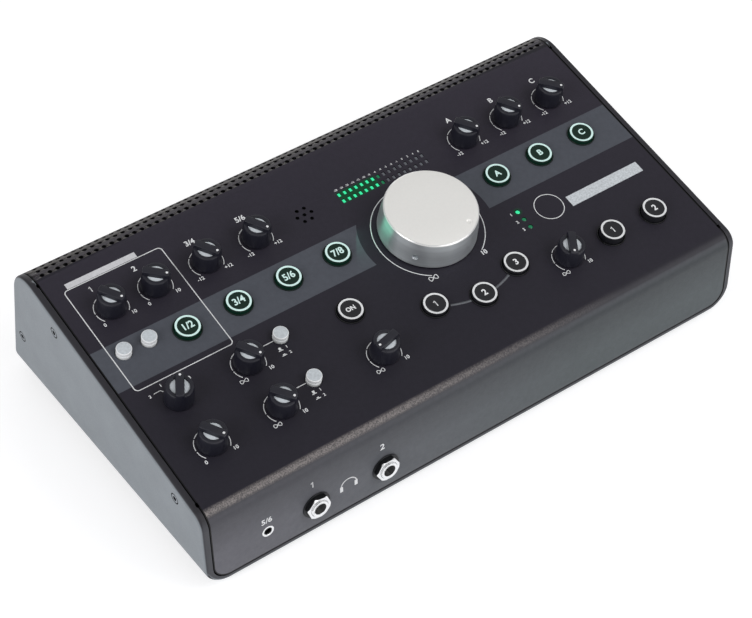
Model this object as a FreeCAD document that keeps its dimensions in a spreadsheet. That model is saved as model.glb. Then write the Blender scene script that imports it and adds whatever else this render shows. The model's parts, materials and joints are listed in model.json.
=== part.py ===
"""A desktop studio monitor controller, built as the separate pieces it is put together from.

Millimetres. +X is to the user's right, +Y to the back and +Z up. The origin is on the table,
under the middle of the object. Every driving dimension is a cell of the sheet "Dims".
"""

import FreeCAD, Part
import math
import os
import re

import Sketcher
from FreeCAD import Placement, Rotation, Vector

doc = FreeCAD.newDocument("studio_monitor_controller")

# ---------------------------------------------------------------- driving dimensions

DIMENSIONS = [
    # the folded case, measured to its outside faces before the bends are rounded
    ("case_width", 324.6, "left side to right side"),
    ("case_depth", 186.1, "front face to the foot of the rear face"),
    ("front_height", 46.75, "chassis bottom to where front face and slope meet"),
    ("rear_height", 84.15, "chassis bottom to where slope and rear face meet"),
    ("rear_lean", 20.8, "how far the rear face leans forward at its top"),
    ("front_bend", 8.5, "radius of the bend between front face and slope"),
    ("rear_bend", 17.9, "radius of the bend between slope and rear face"),
    ("side_bend", 12.8, "radius of the chassis along its lower side edges"),
    ("edge_round", 2.0, "rounding of the folded rim's outer edge"),
    ("sheet_metal", 1.6, "thickness of both shells"),
    ("rim_width", 4.0, "chassis side to the middle of the seam"),
    ("lip_height", 3.4, "chassis bottom to the middle of the seam"),
    ("seam_corner", 9.0, "radius of the cover's lower corners"),
    ("seam_gap", 0.5, "gap between rim and cover"),
    ("relief_width", 1.5, "bend relief in the seam, along X"),
    ("relief_length", 2.4, "bend relief in the seam, up the slope"),
    ("relief_low", 9.5, "lower bend relief, up the slope"),
    ("relief_high", 151.5, "upper bend relief, up the slope"),
    ("vent_pitch", 4.315, "distance between vent holes along a row"),
    ("vent_row_pitch", 4.377, "distance between vent rows, round the bend"),
    ("vent_radius", 1.2, "radius of a vent hole"),
    ("vent_columns", 72, "vent holes in a row"),
    ("vent_rows", 4, "rows of vent holes"),
    ("vent_start", 14.65, "angle of the first vent row round the rear bend, degrees"),
    ("tab_reach", 10.0, "width of the cover's screw tabs under its sheet"),
    ("tab_depth", 14.0, "depth of the cover's screw tabs"),
    ("tab_length", 16.0, "length of the cover's screw tabs"),
    ("tab_clearance", 0.15, "gap between a tab and the chassis side"),
    # feet and fasteners
    ("foot_height", 3.0, "table to chassis bottom"),
    ("foot_radius", 7.0, "rubber foot"),
    ("foot_across", 135.5, "foot centre from the middle"),
    ("foot_inset", 24.0, "foot centre from the front face and the foot of the rear face"),
    ("thread_radius", 1.5, "M3 thread"),
    ("thread_clearance", 0.05, "gap round a shank or a shaft in its bore"),
    ("screw_head_radius", 3.0, "countersunk head"),
    ("screw_head_height", 1.5, "countersunk head"),
    ("screw_length", 6.0, "side and foot screws, with head"),
    ("screw_socket_radius", 1.15, "hexagon socket of a screw"),
    ("front_screw_back", 22.7, "front side screw from the front face"),
    ("front_screw_up", 43.7, "front side screw over the chassis bottom"),
    ("middle_screw_back", 128.7, "middle side screw from the front face"),
    ("middle_screw_up", 66.0, "middle side screw over the chassis bottom"),
    ("rear_screw_back", 169.1, "rear side screw from the front face"),
    ("rear_screw_up", 31.7, "rear side screw over the chassis bottom"),
    # the volume knob
    ("volume_across", 26.1, "axis, along X"),
    ("volume_up", 84.85, "axis, up the slope"),
    ("volume_base_radius", 25.6, "at its foot"),
    ("volume_shoulder_radius", 24.7, "at its top, under the bevel"),
    ("volume_top", 16.6, "top face over the panel"),
    ("volume_gap", 0.8, "foot over the panel"),
    ("volume_bevel", 0.6, "bevel of the top edge"),
    ("volume_hollow_radius", 22.2, "hollow underneath"),
    ("volume_hollow_top", 4.6, "hollow underneath"),
    ("volume_shaft_top", 13.0, "end of the shaft in the knob"),
    ("volume_angle", -55.6, "where the dimple points, degrees"),
    ("dimple_radius", 1.4, "pointer dimple"),
    ("dimple_depth", 0.6, "pointer dimple"),
    ("dimple_reach", 19.9, "pointer dimple from the axis"),
    ("set_screw_height", 6.9, "grub screw over the panel"),
    ("set_screw_end", 11.5, "outer end of the grub screw from the axis"),
    ("set_screw_angle", -86.1, "grub screw from the dimple, degrees"),
    # small knobs
    ("knob_base_radius", 7.4, "at the foot"),
    ("knob_rim_radius", 6.55, "at the rim"),
    ("knob_gap", 0.5, "foot over the panel"),
    ("knob_rim_height", 10.8, "rim over the panel"),
    ("knob_top_height", 12.7, "grip bar over the panel"),
    ("knob_floor_height", 10.1, "recessed crescents over the panel"),
    ("crescent_radius", 4.55, "outer radius of the crescents"),
    ("bar_top_width", 4.2, "grip bar on top"),
    ("bar_foot_width", 5.2, "grip bar at the crescents"),
    ("shaft_radius", 3.0, "shafts of all potentiometers"),
    ("shaft_bottom", -12.5, "inner end of the shafts"),
    ("knob_shaft_top", 8.5, "outer end of the small shafts"),
    # potentiometers
    ("bushing_radius", 3.45, "small potentiometers"),
    ("bushing_top", -0.2, "small potentiometers"),
    ("pot_top", -7.2, "small potentiometer bodies"),
    ("pot_width", 9.5, "small potentiometer bodies"),
    ("pot_length", 11.0, "small potentiometer bodies"),
    ("pot_hole_radius", 3.7, "panel holes of the small potentiometers"),
    ("volume_bushing_radius", 4.5, "volume potentiometer"),
    ("volume_bushing_top", 4.0, "volume potentiometer"),
    ("volume_pot_radius", 12.0, "volume potentiometer body"),
    ("volume_pot_top", -4.0, "volume potentiometer body"),
    ("volume_nut_flats", 14.0, "volume potentiometer nut"),
    ("volume_nut_height", 2.5, "volume potentiometer nut"),
    # round buttons
    ("cap_radius", 6.5, "cap"),
    ("cap_height", 2.4, "low caps over the panel"),
    ("tall_cap_height", 4.5, "talkback caps over the panel"),
    ("cap_bottom", -3.0, "underside of the caps"),
    ("cap_round", 0.35, "rounding of the cap's upper edge"),
    ("light_inner_radius", 5.2, "light ring"),
    ("light_outer_radius", 6.15, "light ring"),
    ("light_depth", 1.2, "light ring"),
    ("stem_radius", 2.0, "stems of all buttons"),
    ("stem_bottom", -9.5, "inner end of the stems"),
    ("bezel_inner_radius", 6.8, "collar round a cap"),
    ("bezel_outer_radius", 7.5, "collar round a cap"),
    ("bezel_sleeve_radius", 7.15, "collar's sleeve in the panel"),
    ("bezel_height", 0.6, "collar over the panel"),
    ("sleeve_bottom", -2.2, "lower end of the collar's sleeve"),
    # push switches
    ("push_radius", 3.9, "cap"),
    ("push_height", 3.9, "cap over the panel"),
    ("push_waist_radius", 3.45, "groove round the cap"),
    ("push_waist_bottom", 1.4, "groove round the cap"),
    ("push_waist_top", 1.9, "groove round the cap"),
    ("push_hole_radius", 4.3, "panel hole"),
    # switches under the caps
    ("switch_width", 8.6, "switch bodies"),
    ("switch_top", -6.0, "switch bodies"),
    ("switch_floor", -13.0, "bottom of the stem's bore"),
    ("stem_bore_radius", 2.08, "stem's bore"),
    # rows and columns of the controls, up the slope from the front and along X
    ("trim_row", 122.8, "gain and trim knobs"),
    ("select_row", 93.9, "source and monitor buttons"),
    ("push_row", 97.4, "phantom and pan switches"),
    ("upper_row", 62.2, "cue source, studio button and first headphone knob"),
    ("lower_row", 33.6, "lowest knobs and talkback buttons"),
    ("left_column", -134.75, "first knob column"),
    ("source_column", -110.1, "first source button"),
    ("source_pitch", 29.1, "source button spacing"),
    ("phones_column", -96.05, "headphone level knobs"),
    ("studio_column", -36.9, "studio output controls"),
    ("monitor_column", 77.7, "first monitor button"),
    ("monitor_pitch", 28.05, "monitor button spacing"),
    ("mute_reach", 48.3, "mono, mute and dim from the volume knob's axis"),
    ("mute_angle", 31.3, "angle between mono, mute and dim, degrees"),
    ("push_column", -143.3, "phantom switch"),
    ("push_pitch", 13.9, "phantom switch to pan switch"),
    ("phones_push_column", -74.6, "headphone source switches"),
    ("phones_push_rise", 5.0, "headphone source switches over their knob row"),
    # lights and microphone
    ("meter_columns", 16, "lights in a meter row"),
    ("meter_left", -0.25, "first meter light"),
    ("meter_pitch", 3.467, "meter light spacing"),
    ("meter_upper_row", 124.7, "upper meter row"),
    ("meter_lower_row", 120.35, "lower meter row"),
    ("meter_width", 1.7, "meter window along X"),
    ("meter_length", 2.3, "meter window up the slope"),
    ("light_clearance", 0.1, "gap between a light and its window"),
    ("light_top", -0.05, "top of the lights"),
    ("status_lights", 3, "status lights"),
    ("status_column", 72.85, "status lights"),
    ("status_row", 69.7, "highest status light"),
    ("status_pitch", 5.4, "status light spacing"),
    ("status_radius", 1.3, "status window"),
    ("mic_column", -22.75, "microphone centre, along X"),
    ("mic_row", 122.95, "microphone centre, up the slope"),
    ("mic_hole_radius", 1.0, "microphone hole"),
    ("mic_hole_pitch", 4.25, "microphone hole spacing"),
    ("mic_radius", 5.5, "microphone capsule"),
    ("mic_height", 4.5, "microphone capsule"),
    # sockets on the front face, z from the face outwards
    ("phones_left", -100.6, "first headphone socket"),
    ("phones_pitch", 40.1, "headphone socket spacing"),
    ("front_socket_up", 18.1, "socket centres over the chassis bottom"),
    ("plug_radius", 3.25, "bore for a 6.35 mm plug"),
    ("plug_depth", 22.0, "bore for a 6.35 mm plug, behind the face"),
    ("thread_ring_radius", 4.5, "threaded bushing of a 6.35 mm socket"),
    ("ring_hole_radius", 4.7, "hole round that bushing"),
    ("socket_body_width", 12.0, "6.35 mm socket bodies"),
    ("socket_depth", 24.0, "rear end of the socket bodies, behind the face"),
    ("washer_radius", 7.6, "headphone washer"),
    ("washer_height", 0.7, "headphone washer"),
    ("nut_flats", 12.0, "headphone nut, across flats"),
    ("nut_corner_radius", 6.75, "headphone nut, over its turned corners"),
    ("nut_height", 2.2, "headphone nut"),
    ("bushing_reach", 3.6, "headphone socket's bushing over the front face"),
    ("mini_across", -127.9, "3.5 mm socket"),
    ("mini_ring_radius", 3.25, "metal ring of the 3.5 mm socket"),
    ("mini_plug_radius", 1.8, "bore for a 3.5 mm plug"),
    ("mini_plug_depth", 13.0, "bore for a 3.5 mm plug"),
    ("mini_body_width", 8.0, "body of the 3.5 mm socket"),
    ("mini_body_depth", 14.5, "body of the 3.5 mm socket"),
    # rear face, seen from behind: across to the right, up along the face
    ("jack_columns", 8, "line jacks in a row"),
    ("jack_first", -76.0, "first line jack column"),
    ("jack_pitch", 17.5, "line jack spacing along a row"),
    ("jack_low_row", 22.0, "lower line jacks"),
    ("jack_row_rise", 24.0, "lower to upper line jacks"),
    ("rear_nut_flats", 11.0, "line jack nut, across flats"),
    ("rear_nut_height", 2.2, "line jack nut"),
    ("combo_first", 86.0, "first combo input"),
    ("combo_pitch", 34.0, "combo input spacing"),
    ("combo_row", 34.0, "combo inputs"),
    ("combo_radius", 11.8, "combo input barrel"),
    ("combo_flange_width", 26.0, "combo input flange"),
    ("combo_flange_length", 31.0, "combo input flange"),
    ("combo_flange_height", 1.8, "combo input flange"),
    ("combo_pin_radius", 1.4, "combo input pin holes"),
    ("combo_pin_reach", 6.6, "combo input pin holes from the axis"),
    ("inlet_across", -143.0, "power inlet"),
    ("power_across", -122.0, "power button"),
    ("usb_across", -101.0, "USB socket"),
    ("service_row", 22.0, "USB socket, power inlet and power button"),
    ("inlet_radius", 5.0, "power inlet barrel"),
    ("inlet_bore_radius", 2.75, "power inlet"),
    ("inlet_pin_radius", 1.0, "power inlet pin"),
    ("inlet_bore_depth", 9.5, "power inlet"),
    ("usb_width", 9.0, "USB socket opening"),
    ("usb_opening", 3.2, "USB socket opening"),
    ("usb_wall", 0.8, "USB socket shell"),
    ("usb_depth", 7.0, "USB socket opening"),
    ("power_radius", 4.0, "power button cap"),
    ("power_reach", 4.0, "power button cap over the rear face"),
    ("power_hole_radius", 4.4, "hole round the power button"),
    # boards, and what holds them; depths below the panel's outside face
    ("board_thickness", 1.6, "circuit boards"),
    ("board_top", -14.0, "upper face of the main board"),
    ("board_length", 300.0, "main board along X"),
    ("board_width", 136.0, "main board up the slope"),
    ("board_middle", 81.0, "main board's middle, up the slope"),
    ("rear_board_length", 300.0, "rear board"),
    ("rear_board_width", 50.0, "rear board"),
    ("front_board_length", 100.0, "front board"),
    ("front_board_middle", -92.0, "front board's middle, along X"),
    ("spacer_radius", 2.75, "spacers between panel and main board"),
    ("spacer_across", 146.0, "side spacers"),
    ("spacer_low", 48.0, "lower side spacers"),
    ("spacer_high", 110.0, "upper side spacers"),
    ("middle_spacer_across", -8.0, "middle spacers"),
    ("middle_spacer_low", 16.0, "lower middle spacer"),
    ("pan_head_radius", 2.7, "heads of the board screws"),
    ("pan_head_height", 1.8, "heads of the board screws"),
    ("board_screw_top", -7.0, "end of the board screws"),
    ("ribbon_width", 32.0, "ribbon cable"),
    ("ribbon_thickness", 1.0, "ribbon cable"),
    ("ribbon_bend", 5.0, "radius of the ribbon cable's bend"),
]

dims = doc.addObject("Spreadsheet::Sheet", "Dims")
for row, (alias, value, note) in enumerate(DIMENSIONS, start=1):
    dims.set(f"A{row}", note)
    dims.set(f"B{row}", str(value))
    dims.setAlias(f"B{row}", alias)
doc.recompute()


def size(alias):
    """A driving dimension, as a number."""
    return float(dims.get(alias))


def count(alias):
    """A driving number of pieces."""
    return int(dims.get(alias))


# ---------------------------------------------------------------- frames

X_AXIS = Vector(1, 0, 0)
Y_AXIS = Vector(0, 1, 0)
Z_AXIS = Vector(0, 0, 1)
HALF_WIDTH = size("case_width") / 2
SLOPE_RISE = size("rear_height") - size("front_height")
SLOPE_RUN = size("case_depth") - size("rear_lean")
SLOPE = math.degrees(math.atan2(SLOPE_RISE, SLOPE_RUN))
SLOPE_LENGTH = math.hypot(SLOPE_RISE, SLOPE_RUN)
LEAN = math.degrees(math.atan2(size("rear_lean"), size("rear_height")))


def at(x=0.0, y=0.0, z=0.0, turn=0.0):
    """A place on a face, turned about the face's normal."""
    return Placement(Vector(x, y, z), Rotation(Z_AXIS, turn))


# the case: its front face is at y = 0 and its bottom at z = 0
CASE = at(0, (size("bushing_reach") - size("case_depth")) / 2, size("foot_height"))
# faces within the case: z points out of the face
PANEL = Placement(Vector(0, 0, size("front_height")), Rotation(X_AXIS, SLOPE))
FRONT = Placement(Vector(0, 0, 0), Rotation(X_AXIS, 90))
REAR_TURN = Rotation(X_AXIS, LEAN).multiply(Rotation(Z_AXIS, 180)).multiply(Rotation(X_AXIS, 90))
REAR = Placement(Vector(0, size("case_depth"), 0), REAR_TURN)

# ---------------------------------------------------------------- building blocks

ALIASES = {alias for alias, value, note in DIMENSIONS}


def bound(formula):
    """The formula with the sheet's name put before each of its aliases."""
    return re.sub(r"[a-z_]+", lambda word: "Dims." + word[0] if word[0] in ALIASES else word[0], formula)


def bind(thing, **formulas):
    for prop, formula in formulas.items():
        thing.setExpression(prop, bound(formula))


def stand(thing, bottom, top, x, y):
    """Stand a primitive on one height and let it reach another."""
    thing.Placement = at(x, y)
    bind(thing, Height=f"({top}) - ({bottom})")
    thing.setExpression("Placement.Base.z", bound(bottom))
    return thing


def rod(name, radius, bottom, top, x=0.0, y=0.0):
    thing = doc.addObject("Part::Cylinder", name)
    bind(thing, Radius=radius)
    return stand(thing, bottom, top, x, y)


def taper(name, lower_radius, upper_radius, bottom, top, x=0.0, y=0.0):
    thing = doc.addObject("Part::Cone", name)
    bind(thing, Radius1=lower_radius, Radius2=upper_radius)
    return stand(thing, bottom, top, x, y)


def hexagon(name, across_flats, bottom, top, x=0.0, y=0.0):
    thing = doc.addObject("Part::Prism", name)
    thing.Polygon = 6
    bind(thing, Circumradius=f"({across_flats}) / sqrt(3)")
    return stand(thing, bottom, top, x, y)


def block(name, length, width, bottom, top, x=0.0, y=0.0):
    """A box whose middle is over x, y."""
    thing = doc.addObject("Part::Box", name)
    bind(thing, Length=length, Width=width)
    stand(thing, bottom, top, 0, 0)
    thing.setExpression("Placement.Base.x", bound(f"{x} - ({length}) / 2"))
    thing.setExpression("Placement.Base.y", bound(f"{y} - ({width}) / 2"))
    return thing


def gather(name, things):
    """Several solids that stay apart."""
    group = doc.addObject("Part::Compound", name)
    group.Links = things
    return group


def join(name, things):
    fusion = doc.addObject("Part::MultiFuse", name)
    fusion.Shapes = things
    return fusion


def cut(name, base, *tools):
    result = doc.addObject("Part::Cut", name)
    result.Base = base
    result.Tool = tools[0] if len(tools) == 1 else gather(name + "_tools", list(tools))
    return result


def common(name, base, tool):
    result = doc.addObject("Part::Common", name)
    result.Base = base
    result.Tool = tool
    return result


def tube(name, outer_radius, inner_radius, bottom, top, x=0.0, y=0.0):
    outside = rod(name + "_outside", outer_radius, bottom, top, x, y)
    inside = rod(name + "_inside", inner_radius, f"{bottom} - 1", f"{top} + 1", x, y)
    return cut(name, outside, inside)


def outline(body, plane_role, corners):
    """A closed polygon on one of the body's planes, each corner held by two formulas."""
    plane = next(item for item in body.Origin.OriginFeatures if item.Role == plane_role)
    sketch = body.newObject("Sketcher::SketchObject", body.Name + "_outline")
    sketch.AttachmentSupport = (plane, "")
    sketch.MapMode = "FlatFace"
    total = len(corners)
    start = [Rotation(Z_AXIS, 360 * i / total).multVec(X_AXIS) for i in range(total)]
    for i in range(total):
        sketch.addGeometry(Part.LineSegment(start[i], start[(i + 1) % total]), False)
    for i in range(total):
        sketch.addConstraint(Sketcher.Constraint("Coincident", i, 2, (i + 1) % total, 1))
    for i, corner in enumerate(corners):
        for kind, formula in zip(("DistanceX", "DistanceY"), corner):
            number = sketch.addConstraint(Sketcher.Constraint(kind, -1, 1, i, 1, 1.0))
            sketch.setExpression(f"Constraints[{number}]", bound(formula))
    return sketch


def pad(body, plane_role, corners, length):
    """A polygon padded both ways from its plane."""
    feature = body.newObject("PartDesign::Pad", body.Name + "_pad")
    feature.Profile = outline(body, plane_role, corners)
    feature.SideType = "Symmetric"
    bind(feature, Length=length)
    doc.recompute()
    return feature


def edges_where(shape, test):
    return [f"Edge{number}" for number, edge in enumerate(shape.Edges, start=1) if test(edge)]


def runs_along(edge, axis):
    is_line = edge.Curve.TypeId == "Part::GeomLine"
    return is_line and abs(edge.Curve.Direction.dot(axis)) > 0.999


def is_sharp(shape, edge):
    """True where two faces meet at an angle."""
    middle = edge.valueAt((edge.FirstParameter + edge.LastParameter) / 2)
    faces = shape.ancestorsOfType(edge, Part.Face)
    normals = [face.normalAt(*face.Surface.parameter(middle)) for face in faces]
    return len(normals) == 2 and normals[0].getAngle(normals[1]) > 0.3


def body_fillet(body, base, name, radius, edges):
    feature = body.newObject("PartDesign::Fillet", name)
    feature.Base = (base, edges)
    bind(feature, Radius=radius)
    doc.recompute()
    return feature


def fillet(name, base, radius, edge_test):
    """Round the edges of a Part object that pass a test."""
    doc.recompute()
    feature = doc.addObject("Part::Fillet", name)
    feature.Base = base
    rounding = size(radius)
    chosen = edges_where(base.Shape, edge_test)
    feature.Edges = [(int(edge[len("Edge"):]), rounding, rounding) for edge in chosen]
    return feature


NODES = []


def node(label, thing, face, place=Placement()):
    """Make a finished piece a sub-part: named, and put where it belongs on the case."""
    thing.Label = label
    thing.Placement = CASE.multiply(face).multiply(place)
    NODES.append(thing)
    return thing


def copy_of(thing, name):
    """The same solids again, for another place."""
    return gather(name, [thing])


# ---------------------------------------------------------------- where the controls are

VOLUME_PLACE = (size("volume_across"), size("volume_up"))


def column(first, pitch, number):
    return size(first) + number * size(pitch)


def below_volume(steps):
    """One of the three buttons on an arc below the volume knob."""
    angle = math.radians(steps * size("mute_angle"))
    x = VOLUME_PLACE[0] + size("mute_reach") * math.sin(angle)
    y = VOLUME_PLACE[1] - size("mute_reach") * math.cos(angle)
    return x, y


# small knobs: place along X, place up the slope, and where the bar points in degrees
KNOBS = {
    "gain_1_knob": (size("left_column"), size("trim_row"), -56),
    "gain_2_knob": (size("source_column"), size("trim_row"), -41),
    "trim_1_knob": (column("source_column", "source_pitch", 1), size("trim_row"), -55),
    "trim_2_knob": (column("source_column", "source_pitch", 2), size("trim_row"), -57),
    "trim_a_knob": (size("monitor_column"), size("trim_row"), -52),
    "trim_b_knob": (column("monitor_column", "monitor_pitch", 1), size("trim_row"), -54),
    "trim_c_knob": (column("monitor_column", "monitor_pitch", 2), size("trim_row"), -46),
    "cue_source_knob": (size("left_column"), size("upper_row"), 59),
    "direct_monitor_knob": (size("left_column"), size("lower_row"), -56),
    "phones_1_knob": (size("phones_column"), size("upper_row"), -56),
    "phones_2_knob": (size("phones_column"), size("lower_row"), -51),
    "studio_level_knob": (size("studio_column"), size("lower_row"), -167),
    "talkback_level_knob": (size("monitor_column"), size("lower_row"), -121),
}
LOW_BUTTONS = {
    "source_1_button": (column("source_column", "source_pitch", 0), size("select_row")),
    "source_2_button": (column("source_column", "source_pitch", 1), size("select_row")),
    "source_3_button": (column("source_column", "source_pitch", 2), size("select_row")),
    "source_4_button": (column("source_column", "source_pitch", 3), size("select_row")),
    "monitor_a_button": (column("monitor_column", "monitor_pitch", 0), size("select_row")),
    "monitor_b_button": (column("monitor_column", "monitor_pitch", 1), size("select_row")),
    "monitor_c_button": (column("monitor_column", "monitor_pitch", 2), size("select_row")),
    "studio_on_button": (size("studio_column"), size("upper_row")),
    "mono_button": below_volume(-1),
    "mute_button": below_volume(0),
    "dim_button": below_volume(1),
}
TALL_BUTTONS = {
    "talk_to_tracks_button": (column("monitor_column", "monitor_pitch", 1), size("lower_row")),
    "talk_to_cue_button": (column("monitor_column", "monitor_pitch", 2), size("lower_row")),
}
PUSH_SWITCHES = {
    "phantom_switch": (size("push_column"), size("push_row")),
    "pan_switch": (size("push_column") + size("push_pitch"), size("push_row")),
    "phones_1_switch": (size("phones_push_column"), size("upper_row") + size("phones_push_rise")),
    "phones_2_switch": (size("phones_push_column"), size("lower_row") + size("phones_push_rise")),
}
ROUND_BUTTONS = {**LOW_BUTTONS, **TALL_BUTTONS}
PHONES = [(column("phones_left", "phones_pitch", number), size("front_socket_up")) for number in range(2)]
LINE_JACKS = [
    (column("jack_first", "jack_pitch", number), column("jack_low_row", "jack_row_rise", level))
    for level in range(2)
    for number in range(count("jack_columns"))
]
COMBOS = [(column("combo_first", "combo_pitch", number), size("combo_row")) for number in range(2)]
METER_ROWS = (size("meter_upper_row"), size("meter_lower_row"))
METER = [
    (column("meter_left", "meter_pitch", number), level)
    for level in METER_ROWS
    for number in range(count("meter_columns"))
]
STATUS = [
    (size("status_column"), size("status_row") - number * size("status_pitch"))
    for number in range(count("status_lights"))
]
SPACERS = [
    (side * size("spacer_across"), size(level))
    for side in (-1, 1)
    for level in ("spacer_low", "spacer_high")
] + [
    (size("middle_spacer_across"), size(level))
    for level in ("middle_spacer_low", "spacer_high")
]
FEET = [
    (side * size("foot_across"), back)
    for side in (-1, 1)
    for back in (size("foot_inset"), size("case_depth") - size("foot_inset"))
]
SIDE_SCREWS = [
    (side, size(spot + "_screw_back"), size(spot + "_screw_up"))
    for side in (-1, 1)
    for spot in ("front", "middle", "rear")
]


def microphone_holes():
    """One hole in the middle and six round it."""
    middle = Vector(size("mic_column"), size("mic_row"), 0)
    reach = Vector(size("mic_hole_pitch"), 0, 0)
    ring = [middle + Rotation(Z_AXIS, 60 * step).multVec(reach) for step in range(6)]
    return [(spot.x, spot.y) for spot in [middle] + ring]


# ---------------------------------------------------------------- the case

def case_outside():
    """The folded case as a solid, and its state before the sharp edges are rounded."""
    body = doc.addObject("PartDesign::Body", "case_outside")
    corners = [
        ("0", "0"),
        ("case_depth", "0"),
        ("case_depth - rear_lean", "rear_height"),
        ("0", "front_height"),
    ]
    blank = pad(body, "YZ_Plane", corners, "case_width")

    def front_edge(edge):
        return runs_along(edge, X_AXIS) and edge.BoundBox.ZMin > 1 and edge.BoundBox.YMax < 1

    def rear_edge(edge):
        return runs_along(edge, X_AXIS) and edge.BoundBox.ZMin > size("front_height") + 1

    def side_edge(edge):
        return runs_along(edge, Y_AXIS) and edge.BoundBox.ZMax < 1

    bent = body_fillet(body, blank, "front_bend_fillet", "front_bend", edges_where(blank.Shape, front_edge))
    bent = body_fillet(body, bent, "rear_bend_fillet", "rear_bend", edges_where(bent.Shape, rear_edge))
    bent = body_fillet(body, bent, "side_bend_fillet", "side_bend", edges_where(bent.Shape, side_edge))
    sharp = edges_where(bent.Shape, lambda edge: is_sharp(bent.Shape, edge))
    body_fillet(body, bent, "edge_fillet", "edge_round", sharp)
    return body, bent


def case_shell():
    outside, bent = case_outside()
    inside = doc.addObject("Part::Offset", "case_inside")
    inside.Source = bent
    inside.Join = 2
    bind(inside, Value="-sheet_metal")
    return cut("case_shell", outside, inside)


def seam_prism(name, growth):
    """All that lies within the seam, from the lip to well above the case."""
    width = f"case_width - 2 * rim_width + 2 * ({growth})"
    prism = block(name + "_block", width, "3 * case_depth", f"lip_height - ({growth})", "2 * rear_height")
    bottom = size("lip_height") + 1

    def lower_edge(edge):
        return runs_along(edge, Y_AXIS) and edge.BoundBox.ZMax < bottom

    return fillet(name, prism, "seam_corner", lower_edge)


def reliefs():
    """Small notches in the seam where the cover's bends begin."""
    side = HALF_WIDTH - size("rim_width")
    notches = [
        block("relief", "relief_width", "relief_length", "-3 * sheet_metal", "sheet_metal", x, size(level))
        for x in (-side, side)
        for level in ("relief_low", "relief_high")
    ]
    group = gather("reliefs", notches)
    group.Placement = PANEL
    return group


def vents():
    """Rows of radial holes round the rear bend."""
    turn = math.radians(SLOPE + 90 - LEAN)
    bend = size("rear_bend")
    middle = Vector(0, SLOPE_LENGTH - bend * math.tan(turn / 2), -bend)
    step = math.degrees(size("vent_row_pitch") / bend)
    holes = []
    for level in range(count("vent_rows")):
        outward = Rotation(X_AXIS, -(size("vent_start") + level * step)).multVec(Z_AXIS)
        start = middle + outward * (bend - 3 * size("sheet_metal"))
        for number in range(count("vent_columns")):
            across = (number - (count("vent_columns") - 1) / 2) * size("vent_pitch")
            hole = Part.makeCylinder(size("vent_radius"), bend, start + X_AXIS * across, outward)
            holes.append(hole)
    thing = doc.addObject("Part::Feature", "vents")
    thing.Shape = Part.makeCompound(holes)
    thing.Placement = PANEL
    return thing


def through(name, radius, places):
    """Round holes through a face."""
    return [rod(name, radius, "-3 * sheet_metal", "sheet_metal", x, y) for x, y in places]


def panel_openings():
    knob_places = [(x, y) for x, y, turn in KNOBS.values()]
    holes = through("pot_hole", "pot_hole_radius", knob_places)
    holes += through("volume_hole", "ring_hole_radius", [VOLUME_PLACE])
    holes += through("button_hole", "bezel_sleeve_radius + thread_clearance", ROUND_BUTTONS.values())
    holes += through("push_hole", "push_hole_radius", PUSH_SWITCHES.values())
    holes += through("status_hole", "status_radius", STATUS)
    holes += through("mic_hole", "mic_hole_radius", microphone_holes())
    for x, y in METER:
        window = block("meter_window", "meter_width", "meter_length", "-3 * sheet_metal", "sheet_metal", x, y)
        holes.append(window)
    group = gather("panel_openings", holes)
    group.Placement = PANEL
    return group


def front_openings():
    holes = through("phones_hole", "ring_hole_radius", PHONES)
    mini_place = (size("mini_across"), size("front_socket_up"))
    holes += through("mini_hole", "mini_ring_radius + light_clearance", [mini_place])
    group = gather("front_openings", holes)
    group.Placement = FRONT
    return group


def rear_openings():
    row_up = size("service_row")
    holes = through("line_hole", "ring_hole_radius", LINE_JACKS)
    holes += through("combo_hole", "combo_radius + light_clearance", COMBOS)
    holes += through("inlet_hole", "inlet_radius + light_clearance", [(size("inlet_across"), row_up)])
    holes += through("power_hole", "power_hole_radius", [(size("power_across"), row_up)])
    usb_width = "usb_width + 2 * usb_wall + 2 * light_clearance"
    usb_height = "usb_opening + 2 * usb_wall + 2 * light_clearance"
    usb_hole = block(
        "usb_hole", usb_width, usb_height, "-3 * sheet_metal", "sheet_metal", size("usb_across"), row_up
    )
    holes.append(usb_hole)
    group = gather("rear_openings", holes)
    group.Placement = REAR
    return group


def across_case(thing, side, back, up):
    """Turn a piece that points along z to point outwards through a side of the case."""
    outward = X_AXIS * side
    thing.Placement = Placement(Vector(side * HALF_WIDTH, back, up), Rotation(Z_AXIS, outward))
    return thing


def side_screw_holes():
    holes = []
    for side, back, up in SIDE_SCREWS:
        bore = rod("side_bore", "thread_radius", "-2 * screw_length", "0")
        sink = taper("side_sink", "thread_radius", "screw_head_radius", "-screw_head_height", "0")
        holes.append(across_case(gather("side_hole", [bore, sink]), side, back, up))
    return gather("side_screw_holes", holes)


def foot_screw_holes():
    holes = [rod("foot_hole", "thread_radius", "-1", "2 * sheet_metal", x, y) for x, y in FEET]
    return gather("foot_screw_holes", holes)


def tab(face, along, side):
    """An angled tab under the cover's sheet that a side screw goes into."""
    reach = size("tab_reach")
    edge = HALF_WIDTH - size("sheet_metal") - size("tab_clearance")
    top = "-sheet_metal"
    flat_middle = side * (edge - reach / 2)
    flat = block("tab_flat", "tab_reach", "tab_length", "-2 * sheet_metal", top, flat_middle, along)
    leg_middle = side * (edge - size("sheet_metal") / 2)
    leg = block("tab_leg", "sheet_metal", "tab_length", "-tab_depth", top, leg_middle, along)
    angle = join("tab", [flat, leg])
    angle.Placement = face
    return angle


def tabs():
    pieces = []
    for side, back, up in SIDE_SCREWS:
        face = REAR if back == size("rear_screw_back") else PANEL
        spot = face.inverse().multVec(Vector(side * HALF_WIDTH, back, up))
        local_side = side if face is PANEL else -side
        pieces.append(tab(face, spot.y, local_side))
    return pieces


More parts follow.
